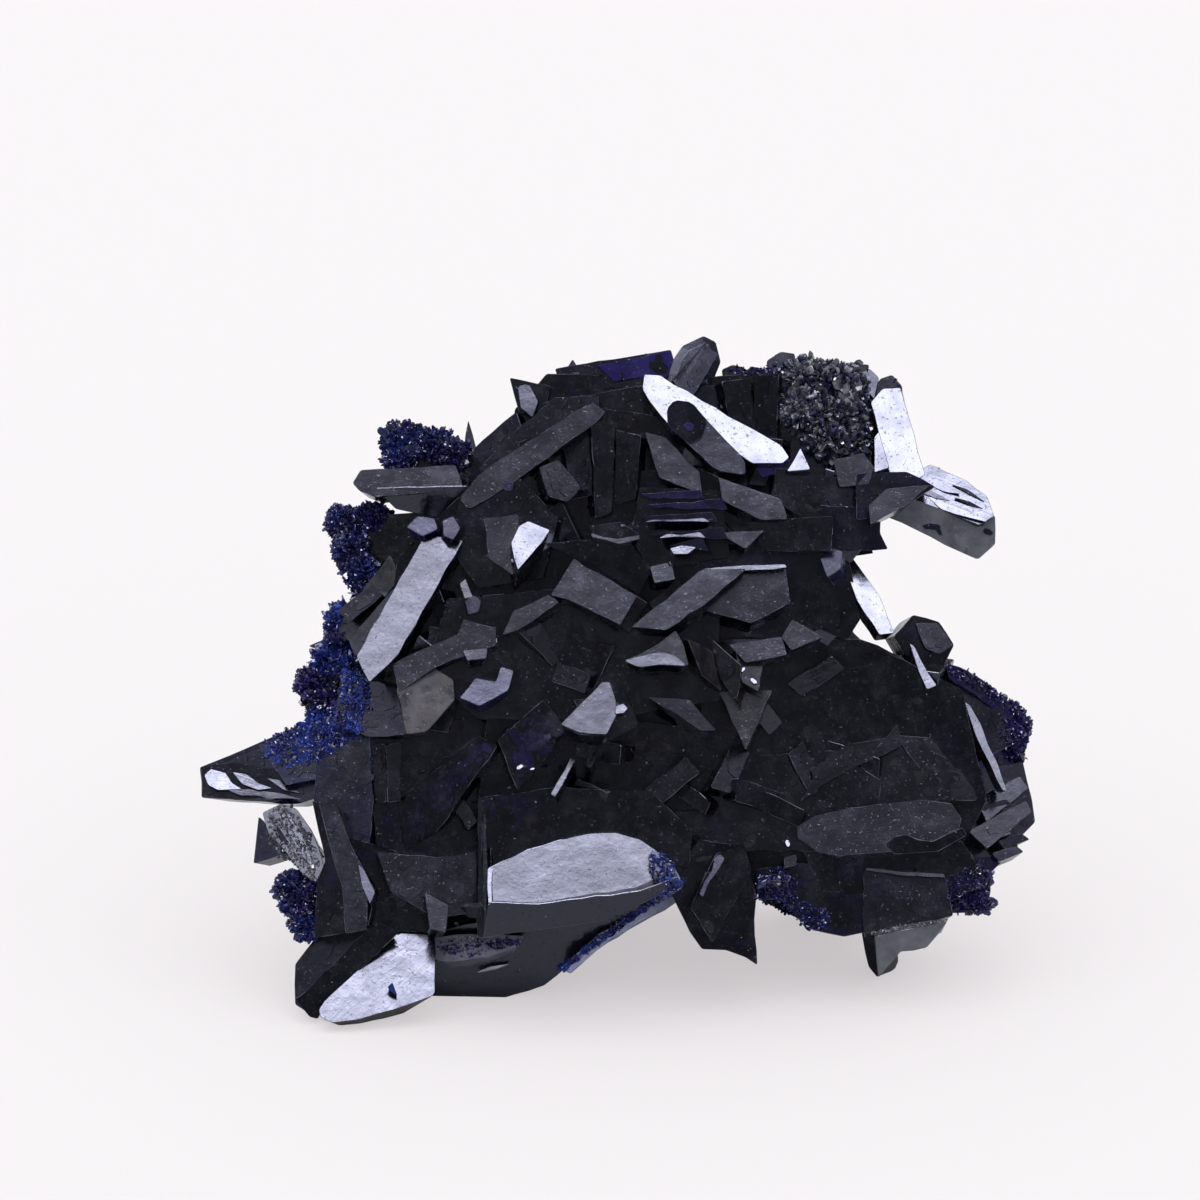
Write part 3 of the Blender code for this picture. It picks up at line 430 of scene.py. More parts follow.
piece = begin_growth("right_wing")
crystal("door_shadow", [(856, 390), (880, 392), (886, 474), (858, 470)], -2.0, -3, 4, 3.0)
crystal("lump_shoulder", [(806, 371), (809, 360), (845, 366), (873, 373), (876, 410), (812, 400)], -2.2, 8,
        6, 4.5)
crystal("door_chip", [(860, 373), (870, 371), (879, 380), (874, 402), (866, 392)], -0.7, 22, 10, 4.0,
        violet=0.1)
crystal("door_tip", [(866, 404), (880, 381), (892, 377), (902, 389), (900, 406)], -0.6, 14, -5, 6.0)
crystal("bright_door", [(870, 405), (882, 391), (900, 390), (917, 455), (924, 477), (917, 481), (888, 475),
        (877, 432)], 1.2, 29.5, 2, 1.3)
crystal("door_sliver", [(873, 440), (878, 434), (888, 470), (873, 475)], 1.9, 31, -6, 1.6)
crystal("arm_body", [(880, 500), (905, 499), (935, 509), (978, 526), (994, 518), (994, 546), (976, 561),
        (960, 554), (884, 518)], 0.15, 4, 6, 3.0, taper=0.6, frost_and_sheen=0.3)
crystal("arm_end", [(976, 527), (994, 517), (994, 546), (977, 561), (962, 555)], 0.35, 4, 14, 1.6, taper=0.6,
        frost_and_sheen=0.2)
crystal("arm_core", [(905, 502), (922, 480), (930, 476), (960, 490), (978, 502), (982, 516), (970, 520),
        (935, 506)], -1.5, 0, 4, 3.0, taper=0.6)
crystal("arm_top", [(905, 500), (922, 470), (930, 466), (965, 482), (986, 498), (993, 518), (978, 527),
        (935, 510)], 0.1, 26, 2, 1.8, violet=0.06, lined=0.9)
crystal("arm_ridge", [(925, 497), (945, 505), (968, 514), (986, 524), (966, 519), (940, 511)], 0.55, 30, 0,
        1.0)
crystal("arm_wrinkle_high", [(950, 486), (966, 491), (984, 504), (966, 495)], 0.43, 14, -4, 0.5)
crystal("arm_wrinkle_low", [(952, 499), (968, 503), (986, 513), (968, 507)], 0.65, 12, 4, 0.5)
crystal("arm_streak_high", [(922, 476), (940, 482), (960, 496), (944, 494), (926, 486)], -0.18, 26, -5, 0.5,
        violet=0.08, lined=0.8)
crystal("arm_streak_low", [(915, 486), (930, 492), (950, 503), (934, 500), (918, 494)], -0.18, 23, 3, 0.5,
        violet=0.05, lined=0.8)
crystal("beak", [(855, 476), (905, 474), (934, 489), (905, 508), (883, 518), (855, 522)], 1.9, 4, 6, 3.0,
        violet=0.1)
crystal("beak_lens", [(867, 508), (885, 491), (929, 487), (906, 507), (884, 518), (869, 527)], 2.5, 16, 8,
        1.6)
crystal("grey_block", [(832, 462), (862, 455), (873, 470), (868, 486), (838, 489)], 1.7, 15, -8, 3.5)
crystal("bright_triangle", [(786, 474), (800, 450), (810, 472)], 1.6, 31, 0, 1.8)
crystal("dark_shelf", [(790, 505), (880, 512), (879, 535), (887, 551), (795, 556)], 0.7, -2, 5, 4.5,
        violet=0.06)
crystal("shelf_upper", [(775, 470), (850, 482), (870, 515), (800, 520), (770, 500)], 0.9, 6, 10, 4.0)
crystal("bright_keel", [(840, 552), (849, 555), (880, 600), (893, 634), (878, 636), (856, 602), (842, 567)],
        -0.4, 30, 5, 1.6)
crystal("keel_bit", [(819, 560), (831, 550), (842, 553), (840, 570), (826, 579)], 1.2, 19, -10, 2.5,
        violet=0.2)
end_growth(piece)

# ---------------------------------------------------------------------------------------------------------
# Left flank: long blades down the left side, between crusts of small blue crystals, to the pointed horn.
# Azurite again; the blades are split off at their ends, and the horn is a broken crystal with ragged, glassy
# breaks that glint white. Small crystals took hold in the gaps between the blades.

piece = begin_growth("left_flank")
crystal("cushion_seat", [(398, 448), (462, 442), (488, 470), (480, 505), (396, 488)], -4.0, 4, -10, 7.0,
        blue=0.06)
crystal("cushion_spike", [(466, 450), (470, 422), (478, 450)], -3.6, 14, 5, 1.0)
crystal("shoulder_slab", [(474, 452), (505, 424), (518, 414), (530, 450), (490, 478)], -2.6, 8, -22, 4.5,
        violet=0.08)
crystal("left_arm", [(355, 485), (363, 472), (458, 467), (466, 492), (380, 499), (362, 493)], -1.4, 15, -6,
        2.0)
crystal("left_arm_under", [(378, 490), (470, 488), (470, 520), (440, 520), (398, 511)], -1.9, -14, -8, 4.0)
crystal("roof_blade", [(592, 404), (609, 416), (505, 492), (470, 512), (461, 500), (484, 474)], 0.6, 13.5,
        -8, 3.0, rounded=0.08)
crystal("roof_spot", [(504, 486), (509, 482), (516, 486), (514, 493), (507, 493)], 0.72, 11, -8, 0.4,
        violet=0.25)
crystal("roof_blade_upper", [(556, 400), (600, 398), (600, 414), (500, 478), (480, 472), (520, 430)], -0.6,
        8, -16, 3.5)
crystal("lobe_seat", [(352, 520), (440, 512), (450, 600), (370, 620), (344, 570)], -3.4, 2, -14, 7.0,
        coat=0.07)
crystal("left_sail", [(425, 541), (440, 538), (466, 542), (402, 655), (373, 683), (360, 657)], 1.6, 24, -9,
        2.0, lined=1.0)
crystal("sail_side", [(396, 590), (404, 592), (366, 652), (358, 656), (352, 641)], 0.8, 16, -24, 1.6,
        lined=1.0)
crystal("brown_blade", [(392, 556), (404, 578), (354, 642), (336, 637), (341, 625)], -1.2, 12, -24, 2.5,
        coat=0.16)
crystal("lilac_scale", [(409, 529), (420, 518), (437, 520), (441, 531), (425, 538)], 0.9, 20, -6, 2.0,
        violet=0.3)
crystal("lilac_prism", [(445, 522), (456, 518), (463, 530), (456, 542), (446, 537)], 1.2, 20, 10, 2.0,
        violet=0.15)
crystal("blue_spike", [(311, 647), (330, 639), (332, 654)], -2.4, 10, -10, 0.9)
crystal("blue_seat", [(330, 640), (400, 600), (420, 720), (330, 740), (312, 700)], -2.6, 4, -16, 6.0,
        blue=0.3)
crystal("horn", [(202, 767), (262, 742), (310, 720), (350, 738), (350, 790), (300, 803), (204, 797)], -0.3,
        12, -18, 3.0, rim=0.4, blue=0.08)
crystal("horn_facet", [(205, 768), (238, 762), (305, 775), (305, 797), (240, 800), (206, 796)], 0.4, 8, -10,
        1.2)
crystal("horn_white", [(208, 775), (216, 768), (228, 771), (236, 783), (246, 789), (222, 790), (212, 785)],
        0.85, 28, -4, 0.7, lined=0.8)
crystal("horn_streak_upper", [(236, 772), (250, 774), (262, 783), (276, 788), (262, 790), (246, 784)], 0.55,
        25, -4, 0.7, lined=0.8)
crystal("horn_streak_lower", [(232, 790), (252, 789), (284, 793), (306, 799), (276, 798), (244, 795)], 0.55,
        21, -4, 0.7, lined=0.8)
crystal("horn_streak_short", [(270, 778), (284, 780), (300, 789), (304, 793), (288, 790)], 0.3, 22, -4, 0.7,
        lined=0.8)
crystal("horn_druse_seat", [(262, 745), (345, 715), (360, 770), (290, 785)], 0.3, 14, -14, 2.6, blue=0.2)
end_growth(piece)

# ---------------------------------------------------------------------------------------------------------
# Left foot: the post below the horn and the broad foot that the cluster stands on at the front.
# Thick azurite crystals that grew downwards. The foot's front face is a flat crystal end, finely lined and
# bright; the small end crystal behind the post is etched and pale.

piece = begin_growth("left_foot")
crystal("end_crystal", [(266, 812), (285, 803), (300, 808), (316, 830), (328, 865), (320, 881), (305, 871),
        (290, 851), (272, 832)], 0.6, 22, -14, 4.5, frost_and_sheen=0.2)
crystal("end_ridge", [(281, 813), (292, 811), (313, 849), (317, 866), (304, 853)], 0.75, 25, -14, 0.8,
        frost_and_sheen=0.3)
crystal("end_groove_high", [(302, 824), (309, 828), (323, 861), (317, 858)], 0.7, 12, -8, 0.6, frost_and_sheen=0.1)
crystal("end_groove_low", [(276, 828), (283, 827), (303, 857), (295, 853)], 0.62, 10, -18, 0.6, violet=0.1)
crystal("end_wing", [(262, 816), (276, 830), (288, 853), (257, 863)], -0.6, 12, -24, 2.0, blue=0.1)
crystal("lilac_plate", [(322, 742), (372, 733), (377, 800), (373, 843), (342, 836), (317, 800)], 1.2, 10,
        -12, 4.0, blue=0.08)
crystal("left_post", [(316, 800), (341, 804), (353, 840), (379, 890), (371, 928), (318, 936), (321, 880),
        (329, 860)], 1.8, 4, -12, 6.5)
crystal("post_face", [(322, 801), (341, 804), (352, 838), (372, 882), (371, 927), (350, 931), (346, 884),
        (334, 846)], 2.5, 11.5, -8, 3.0, lined=0.6)
crystal("post_edge", [(362, 862), (368, 868), (379, 890), (374, 902), (366, 884)], 2.7, 21, -6, 1.5,
        violet=0.15)
crystal("post_shadow", [(350, 835), (400, 850), (440, 905), (438, 931), (372, 927)], 0.2, -3, 6, 4.5)
crystal("post_haze", [(392, 868), (412, 862), (446, 900), (438, 914), (418, 902)], 0.9, 9, 4, 3.0)
crystal("blue_grey_facet", [(380, 850), (440, 856), (488, 848), (486, 908), (440, 916), (394, 890)], 1.0, 10,
        8, 4.0)
crystal("light_patch", [(428, 890), (452, 903), (449, 930), (433, 926)], 1.9, 16, 6, 2.0)
crystal("foot_dark", [(319, 936), (299, 962), (299, 1002), (322, 1014), (402, 930), (380, 922)], -0.2, 10,
        -14, 2.4, taper=0.6)
crystal("foot_band", [(299, 996), (306, 992), (372, 926), (384, 921), (404, 929), (330, 1000), (322, 1016),
        (314, 1014)], 0.9, -3, 4, 2.0, taper=0.6)
crystal("foot_bright", [(323, 1006), (330, 996), (402, 931), (438, 933), (438, 992), (398, 1006),
        (362, 1016), (336, 1019), (325, 1014)], 1.5, 26, 2, 4.0, taper=0.35, lined=0.5, rounded=0.03)
crystal("foot_speck", [(391, 984), (396, 979), (399, 987), (401, 992), (395, 989)], 1.9, 4, 0, 0.5, blue=1.0)
end_growth(piece)

# ---------------------------------------------------------------------------------------------------------
# Upper field: small plates under the ridge, grown at all angles through each other.
# Azurite tablets a few millimetres wide; those turned to the light look grey, the others nearly black.

piece = begin_growth("upper_field")
crystal("bright_shard", [(530, 523), (552, 532), (545, 543), (520, 572), (513, 545), (521, 528)], 3.2, 27.5,
        6, 3.5)
crystal("shard_plate", [(486, 520), (520, 516), (523, 545), (515, 577), (491, 560)], 1.8, 14, -8, 2.5,
        coat=0.05)
crystal("field_left", [(462, 500), (520, 480), (560, 520), (545, 580), (480, 590), (450, 545)], 0.0, 4, -8,
        5.0)
crystal("small_plate", [(541, 470), (560, 462), (583, 490), (570, 504), (550, 499)], 0.9, 13, 14, 2.5)
crystal("prism_left", [(562, 424), (590, 418), (597, 497), (572, 502)], -0.2, 5, -20, 3.5)
crystal("prism_middle", [(592, 422), (617, 428), (613, 515), (597, 521)], 0.1, 4, 20, 3.5)
crystal("prism_right", [(616, 432), (642, 438), (637, 502), (616, 507)], -0.1, 1, -14, 3.5)
crystal("field_upper", [(520, 445), (600, 410), (700, 425), (720, 500), (620, 540), (530, 520)], -1.6, 2, 4,
        5.0)
crystal("rimmed_plate", [(590, 528), (622, 524), (642, 538), (620, 544), (594, 537)], 1.7, 5, 4, 3.0)
crystal("rimmed_edge", [(592, 535), (618, 541), (640, 537), (641, 541), (620, 546), (593, 539)], 1.9, 18, 0,
        1.0)
crystal("dark_plate", [(545, 545), (626, 540), (652, 570), (640, 597), (590, 565)], 0.9, -2, 5, 3.5)
crystal("pale_plate", [(575, 560), (638, 597), (621, 626), (585, 608), (552, 596)], 2.4, 16.5, -6, 2.4)
crystal("pale_arm", [(504, 636), (515, 612), (550, 596), (561, 603), (520, 631)], 2.1, 15, -12, 2.0)
crystal("cream_bit", [(462, 585), (468, 580), (472, 590), (476, 599), (467, 600)], 1.3, 21, 0, 1.0, coat=0.2)
crystal("blue_bit", [(467, 602), (476, 596), (484, 602), (481, 613), (471, 616)], 1.4, 15, 10, 1.0,
        blue=0.08)
crystal("slanting_plate", [(645, 434), (666, 440), (700, 474), (703, 498), (660, 480)], 0.9, 15, 4, 2.4)
crystal("slanting_bar", [(718, 479), (781, 501), (787, 521), (760, 522), (722, 502)], 1.8, 16, 2, 2.4)
crystal("stack_seat", [(640, 490), (722, 492), (730, 560), (650, 572), (632, 540)], 0.2, 2, 0, 4.0)
stack = [(496, 642, 700, 4, 0), (507, 648, 722, 6, -3), (519, 640, 712, 5, 4), (524, 646, 704, 4, 22),
         (536, 650, 722, 7, 2), (540, 660, 700, 6, 24), (548, 668, 702, 9, 6)]
for step, (level, left, right, drop, lean) in enumerate(stack):
    right_end, left_end = (0, 2) if lean > 20 else (5, 9)  # the steps that face the lamp are the thin ones
    crystal(f"stack_{step}", [(left, level), (right, level - drop), (right + 6, level + right_end),
            (left + 8, level + left_end - drop)], 1.1 + 0.2 * step, lean, 6 - 3 * step, 2.6, blue=0.04,
            violet=0.3 if step < 2 else 0.03)
crystal("stack_lilac", [(670, 550), (682, 547), (697, 549), (688, 556), (674, 556)], 2.5, 25, 0, 0.6,
        violet=0.05)
crystal("green_grey_plate", [(650, 568), (672, 563), (676, 581), (655, 585)], 1.6, 19, 8, 1.8)
crystal("sliver", [(720, 535), (764, 532), (745, 551)], 1.6, 17, 4, 1.8)
crystal("brown_plate", [(745, 524), (832, 518), (830, 553), (762, 552)], 1.3, 3, -4, 3.0)
end_growth(piece)

# ---------------------------------------------------------------------------------------------------------
# Lower field: plates and blades across the middle, over the deep dark recess.
# Azurite tablets and broken splinters, some with a tan iron stain from the clay that once filled the cavity.

piece = begin_growth("lower_field")
crystal("centre_bar", [(632, 628), (700, 572), (746, 570), (702, 608), (666, 631)], 3.0, 17, -4, 2.6)
crystal("bar_shoulder", [(700, 571), (784, 566), (790, 604), (750, 624), (706, 612)], 2.0, 13, 2, 4.0)
crystal("bar_edge", [(702, 571), (744, 567), (784, 566), (786, 569), (744, 572)], 2.5, 23.5, 2, 1.2)
crystal("wedge", [(780, 638), (791, 620), (823, 638), (790, 651)], 2.4, 16.5, 8, 2.2)
crystal("wedge_plate", [(728, 645), (781, 637), (786, 655), (745, 663)], 2.6, 16, -4, 1.4)
crystal("white_wing", [(625, 661), (642, 654), (658, 645), (676, 631), (684, 646), (689, 666), (665, 665),
        (641, 667)], 2.8, 15.5, 4, 2.2, coat=0.07)
crystal("wing_edge", [(624, 661), (642, 656), (662, 652), (678, 657), (688, 667), (662, 665), (640, 668)],
        3.15, 22, 2, 1.2, rounded=0.1)
crystal("twist_left", [(688, 640), (712, 652), (722, 692), (702, 676)], 2.4, -1, 18, 5.0, coat=0.06)
crystal("twist_middle", [(712, 640), (741, 666), (736, 702), (716, 672)], 2.2, 2, -18, 3.5, coat=0.05)
crystal("twist_right", [(735, 645), (764, 660), (758, 692), (741, 682)], 2.2, 16, 12, 3.5, coat=0.06)
crystal("arc_plate", [(648, 697), (690, 700), (716, 730), (700, 730), (676, 713)], 1.6, 13, 6, 3.0)
crystal("hanging_wedge", [(718, 692), (772, 690), (745, 750)], 1.4, 13, -6, 2.4, coat=0.11)
crystal("grey_shard", [(562, 724), (603, 682), (611, 682), (617, 700), (618, 714), (608, 734), (580, 732)],
        3.4, 21.5, 2, 2.6)
crystal("shard_edge", [(562, 724), (566, 722), (584, 730), (608, 732), (607, 735), (580, 734)], 3.6, 28, 0,
        1.2)
crystal("shard_knob", [(616, 706), (624, 703), (629, 708), (625, 713), (616, 714)], 3.42, 24, 4, 0.6)
crystal("shard_stem", [(575, 700), (625, 690), (640, 725), (600, 745)], 1.6, 4, 8, 4.0)
crystal("needle_long", [(572, 757), (577, 760), (557, 796), (552, 793)], 1.9, 23, -4, 4.0)
crystal("needle_short", [(594, 751), (599, 753), (592, 767), (587, 764)], 1.6, 27, 4, 4.0)
crystal("long_bar", [(395, 664), (460, 635), (466, 620), (498, 629), (499, 646), (440, 667), (402, 692)],
        2.0, 14, -6, 3.0)
crystal("curved_facet", [(465, 651), (490, 649), (489, 659), (470, 661)], 2.6, 20, 4, 1.4)
crystal("tan_plate", [(405, 675), (435, 667), (456, 680), (458, 700), (430, 731), (410, 734), (400, 690)],
        2.3, 14, 4, 2.4, coat=0.28)
crystal("beside_tan", [(345, 668), (400, 688), (410, 734), (372, 737), (338, 722)], 1.0, 14, -18, 3.5,
        violet=0.08)
crystal("lilac_hook", [(462, 698), (478, 678), (498, 682), (503, 667), (516, 671), (511, 690), (482, 706)],
        1.9, 21, 0, 1.8, violet=0.25)
crystal("field_middle", [(450, 600), (560, 590), (640, 620), (720, 610), (720, 700), (600, 720), (480, 720),
        (430, 670)], 0.2, 2, 0, 6.0)
crystal("rib_left", [(376, 744), (388, 741), (389, 802), (377, 803)], 1.0, 4, -28, 2.5)
crystal("rib_right", [(389, 745), (404, 742), (404, 800), (391, 802)], 1.1, 6, 22, 2.5)
crystal("inner_left", [(372, 728), (500, 715), (500, 855), (380, 860)], -0.4, 2, 6, 6.0)
crystal("inner_middle", [(490, 700), (620, 720), (720, 730), (710, 810), (600, 810), (480, 800)], -0.9, -2,
        2, 6.0)
crystal("inner_blade", [(400, 800), (480, 735), (500, 745), (440, 830), (408, 850)], 0.9, 0, -18, 3.0)
crystal("inner_fin", [(500, 740), (545, 700), (570, 730), (520, 790)], 0.9, 2, 14, 3.0)
end_growth(piece)

# ---------------------------------------------------------------------------------------------------------
# Right body: the large dark plates of the right half and its rough flank.
# Broad azurite crystals seen face on, dark since they are thick, with shallow steps left by growth; towards
# the flank they thin out to stepped edges that show violet.

piece = begin_growth("right_body")
crystal("black_plate", [(700, 655), (760, 640), (860, 640), (905, 660), (905, 758), (830, 758), (770, 800),
        (702, 760)], -0.5, 1, 3, 7.0, rounded=0.05)
crystal("under_black", [(660, 790), (760, 755), (830, 750), (880, 780), (870, 850), (700, 850)], -0.1, 4, -6,
        6.0)
crystal("edge_facet", [(828, 757), (896, 735), (946, 758), (949, 800), (820, 812)], 0.9, 7, 4, 5.0)
crystal("edge_facet_right", [(893, 735), (960, 740), (975, 800), (940, 800)], 1.3, 9, 16, 4.0)
crystal("oval_plate", [(788, 831), (820, 810), (945, 796), (963, 824), (935, 846), (880, 851), (825, 856)],
        2.1, 12.5, 0, 4.5, rounded=0.2)
crystal("oval_hollow", [(884, 843), (892, 835), (904, 833), (915, 838), (930, 840), (946, 832), (960, 826),
        (964, 834), (936, 850), (892, 853)], 2.8, -3, 0, 2.0)
crystal("recess_ridge", [(800, 800), (826, 756), (846, 744), (884, 738), (896, 724), (900, 745), (880, 756),
        (850, 768)], 1.1, 8, -3, 1.0)
crystal("low_block", [(862, 868), (942, 872), (951, 914), (880, 929), (862, 932)], 0.4, 7, 2, 6.0)
crystal("low_neck", [(800, 845), (960, 840), (985, 880), (950, 900), (820, 890)], 0.2, -2, 2, 6.0)
crystal("block_rim", [(864, 866), (900, 870), (942, 872), (943, 876), (900, 874), (864, 869)], 1.0, 17, 0,
        1.4)
crystal("knob", [(893, 637), (912, 616), (938, 623), (953, 646), (943, 666), (912, 672)], -0.8, 2, 12, 4.0)
crystal("knob_face", [(914, 624), (937, 624), (952, 646), (938, 655), (924, 650)], -0.5, 15, 14, 2.0)
crystal("strip_upper", [(908, 644), (913, 647), (920, 662), (935, 686), (925, 690), (917, 672)], 1.0, 25, 8,
        1.2)
crystal("strip_lower", [(963, 702), (969, 706), (980, 726), (986, 744), (996, 764), (1005, 791), (1000, 790),
        (988, 764), (974, 736)], 0.9, 23.5, 8, 1.4)
crystal("flank_upper", [(900, 655), (944, 662), (976, 680), (1000, 702), (1012, 745), (960, 770),
        (900, 740)], -1.0, 8, 16, 6.0, violet=0.06)
crystal("flank_outer", [(975, 690), (1003, 703), (1022, 722), (1020, 762), (1000, 795), (968, 760)], -1.6, 8,
        30, 6.0, violet=0.6, rounded=0.1)
crystal("flank_rim_upper", [(944, 664), (960, 668), (984, 682), (1004, 700), (998, 712), (972, 694),
        (948, 680)], -0.6, 2, 24, 3.0, violet=0.4, rounded=0.1)
crystal("flank_lobe", [(1002, 706), (1014, 706), (1024, 716), (1030, 738), (1022, 752), (1004, 744)], -1.2,
        4, 26, 3.0, violet=0.5, rounded=0.15)
crystal("flank_lower", [(960, 770), (1022, 762), (1031, 800), (1034, 822), (1018, 838), (1003, 858),
        (965, 870), (930, 830)], -0.8, 12, 20, 6.0, violet=0.05)
crystal("flank_rib_high", [(972, 800), (1018, 776), (1027, 788), (985, 822)], 0.4, 20, 12, 2.0)
crystal("flank_rib_low", [(966, 830), (1024, 800), (1030, 812), (985, 848)], 0.4, 18, 18, 2.0)
crystal("flank_foot", [(940, 855), (1003, 858), (988, 873), (989, 890), (984, 911), (945, 912)], -1.2, 4, 14,
        5.0, violet=0.35)
crystal("pinkish_bit", [(1004, 844), (1015, 841), (1017, 853), (1007, 856)], -0.2, 14, 10, 1.6, coat=0.41)
for n, (x, y) in enumerate([(980, 806), (988, 818), (978, 834), (996, 840), (990, 852)]):
    crystal(f"flank_step_{n}", [(x, y), (x + 24, y - 7), (x + 32, y - 1), (x + 7, y + 9)], 0.4 - 0.1 * n,
            10 + 5 * (n % 3), 14, 2.0, violet=0.06)
end_growth(piece)

# ---------------------------------------------------------------------------------------------------------
# Base: the front block, the slab below it, the spur and the right foot.
# The largest azurite crystals, cut off flat below where they sat on the rock. The block's upper face is a
# natural crystal face, pale with fine pits, and blue crystals edge it where it meets the slab.

piece = begin_growth("base")
crystal("block_back", [(484, 796), (560, 786), (650, 790), (693, 830), (690, 862), (640, 903), (484, 934)],
        1.0, 1, 0, 7.0)
crystal("front_block", [(491, 866), (530, 848), (560, 839), (590, 832), (617, 831), (641, 838), (656, 848),
        (668, 862), (676, 876), (640, 887), (590, 896), (540, 902), (491, 903)], 2.9, 23.7, 3, 3.4,
        lined=0.06)
crystal("block_light_edge", [(490, 866), (530, 847), (560, 838), (600, 832), (600, 835), (560, 842),
        (531, 852), (495, 868), (495, 900), (491, 903)], 3.0, 27, 3, 1.0)
crystal("block_blue_end", [(650, 846), (662, 852), (680, 872), (682, 886), (668, 890), (654, 872)], 3.2, 18,
        16, 3.0, blue=0.7, violet=0.2, frost_and_sheen=0.9, rounded=0.15)
crystal("front_strip", [(491, 899), (540, 901), (640, 888), (677, 874), (684, 884), (604, 918), (486, 935)],
        4.2, -14, 2, 4.0)
crystal("block_side", [(480, 796), (493, 800), (493, 934), (480, 936)], 1.3, 8, -30, 2.0)
crystal("block_side_line", [(485, 800), (489, 800), (490, 930), (486, 930)], 1.9, 12, -6, 1.0, lined=0.8)
crystal("base_slab", [(433, 932), (500, 915), (620, 900), (676, 877), (682, 890), (640, 912), (604, 938),
        (571, 963), (546, 984), (501, 998), (434, 1001)], -2.3, -15, -3, 6.0)
crystal("slab_step", [(436, 936), (470, 932), (526, 934), (520, 944), (490, 955), (450, 960), (438, 958)],
        -1.5, 17, -4, 2.0, violet=0.15, frost_and_sheen=0.55)
# Its frosting is a painted highlight: pale paint where the face would mirror the lamp.
crystal("slab_streak", [(478, 971), (492, 965), (512, 962), (498, 967)], -2.45, 10, 0, 0.4, frost_and_sheen=1.2)
# Its frosting paints the keel's bright blue-white glow as pale colour, a painted highlight.
crystal("blue_keel", [(562, 966), (600, 932), (640, 908), (680, 884), (685, 896), (640, 920), (604, 943),
        (572, 971)], -1.5, 10, 10, 3.0, blue=0.8, violet=0.2, frost_and_sheen=2.0)
crystal("spur", [(672, 893), (690, 930), (702, 947), (726, 948), (745, 955), (757, 963), (754, 918),
        (756, 895), (745, 845), (700, 838), (682, 860)], 0.4, -4, 4, 4.0)
crystal("spur_ridge", [(690, 905), (716, 852), (744, 842), (752, 870), (712, 940)], 1.1, 3, 16, 2.5)
crystal("spur_line", [(699, 892), (704, 880), (712, 868), (714, 856), (720, 852), (725, 857), (718, 868),
        (709, 880), (703, 895)], 1.7, 19, 4, 1.0, violet=0.15)
crystal("low_mass", [(755, 868), (800, 862), (864, 866), (867, 930), (843, 935), (810, 928), (796, 914),
        (780, 898), (757, 898)], -0.6, -3, 0, 7.0, violet=0.12)
crystal("cream_strip", [(757, 875), (772, 873), (791, 874), (788, 880), (772, 879), (758, 882)], 0.4, 24, 0,
        1.0, coat=0.3, frost_and_sheen=0.3)
crystal("white_bit", [(783, 856), (796, 853), (796, 864), (784, 866)], 0.8, 14, 10, 1.4)
crystal("right_foot", [(873, 929), (948, 918), (926, 947), (900, 951), (893, 959), (878, 977)], -4.7, -18, 8,
        4.0, frost_and_sheen=0.45)
# Its frosting is a painted highlight: pale paint where the face would mirror the lamp.
crystal("right_foot_edge", [(873, 929), (910, 922), (946, 917), (947, 920), (910, 927), (875, 934)], -4.2,
        28, 0, 1.6, frost_and_sheen=2.0)
crystal("right_foot_side", [(860, 925), (880, 925), (882, 965), (877, 977), (868, 966)], -5.5, -2, -22, 3.0)
crystal("right_foot_neck", [(850, 900), (950, 895), (945, 922), (865, 934)], -5.8, -2, 0, 5.0)
end_growth(piece)

# ---------------------------------------------------------------------------------------------------------
# Dark fields: small dark crystals that crowd the gaps between the large ones.
# Azurite tablets of the same growth that ran out of room early; they lie in shade and show mostly as edges.

piece = begin_growth("dark_fields")
source = random.Random(19)
fields = [  # left and right, top and bottom, columns, rows, distance out
    ((470, 870), (440, 560), 5, 2, -0.7),
    ((410, 700), (600, 700), 5, 2, 0.3),
    ((400, 700), (735, 840), 4, 2, -0.1),
    ((710, 950), (670, 850), 4, 3, 0.2),
    ((355, 470), (570, 730), 2, 4, -0.4),
]
tablet_corners = [(-1, -0.6), (-0.75, 1), (1, 0.5), (0.8, -1)]
for field, ((left, right), (top, bottom), columns, rows, out) in enumerate(fields):
    for n in range(columns * rows):
        column, row = n % columns, n // columns
        x = left + (right - left) * (column + source.uniform(0.1, 0.9)) / columns
        y = top + (bottom - top) * (row + source.uniform(0.1, 0.9)) / rows
        long, wide = source.uniform(38, 66), source.uniform(16, 30)
        tilt = source.choice((-1, 1)) * math.radians(source.uniform(15, 75))
        along = Vector((math.cos(tilt), math.sin(tilt)))
        beside = Vector((-along.y, along.x))
        outline = [Vector((x, y)) + along * a * long / 2 + beside * b * wide / 2 for a, b in tablet_corners]
        crystal(f"field_{field}_{n}", outline, out + source.uniform(-0.3, 0.8), source.uniform(-14, 14),
                source.uniform(-30, 30), 4.5)
end_growth(piece)

# ---------------------------------------------------------------------------------------------------------
# Rear: broad blades that spread from the trunk over the back and down to the ground behind.
# Azurite of the same habit, grown towards the other wall of the cavity, with flat faces and bevelled edges
# that carry rubbing and a painted highlight.


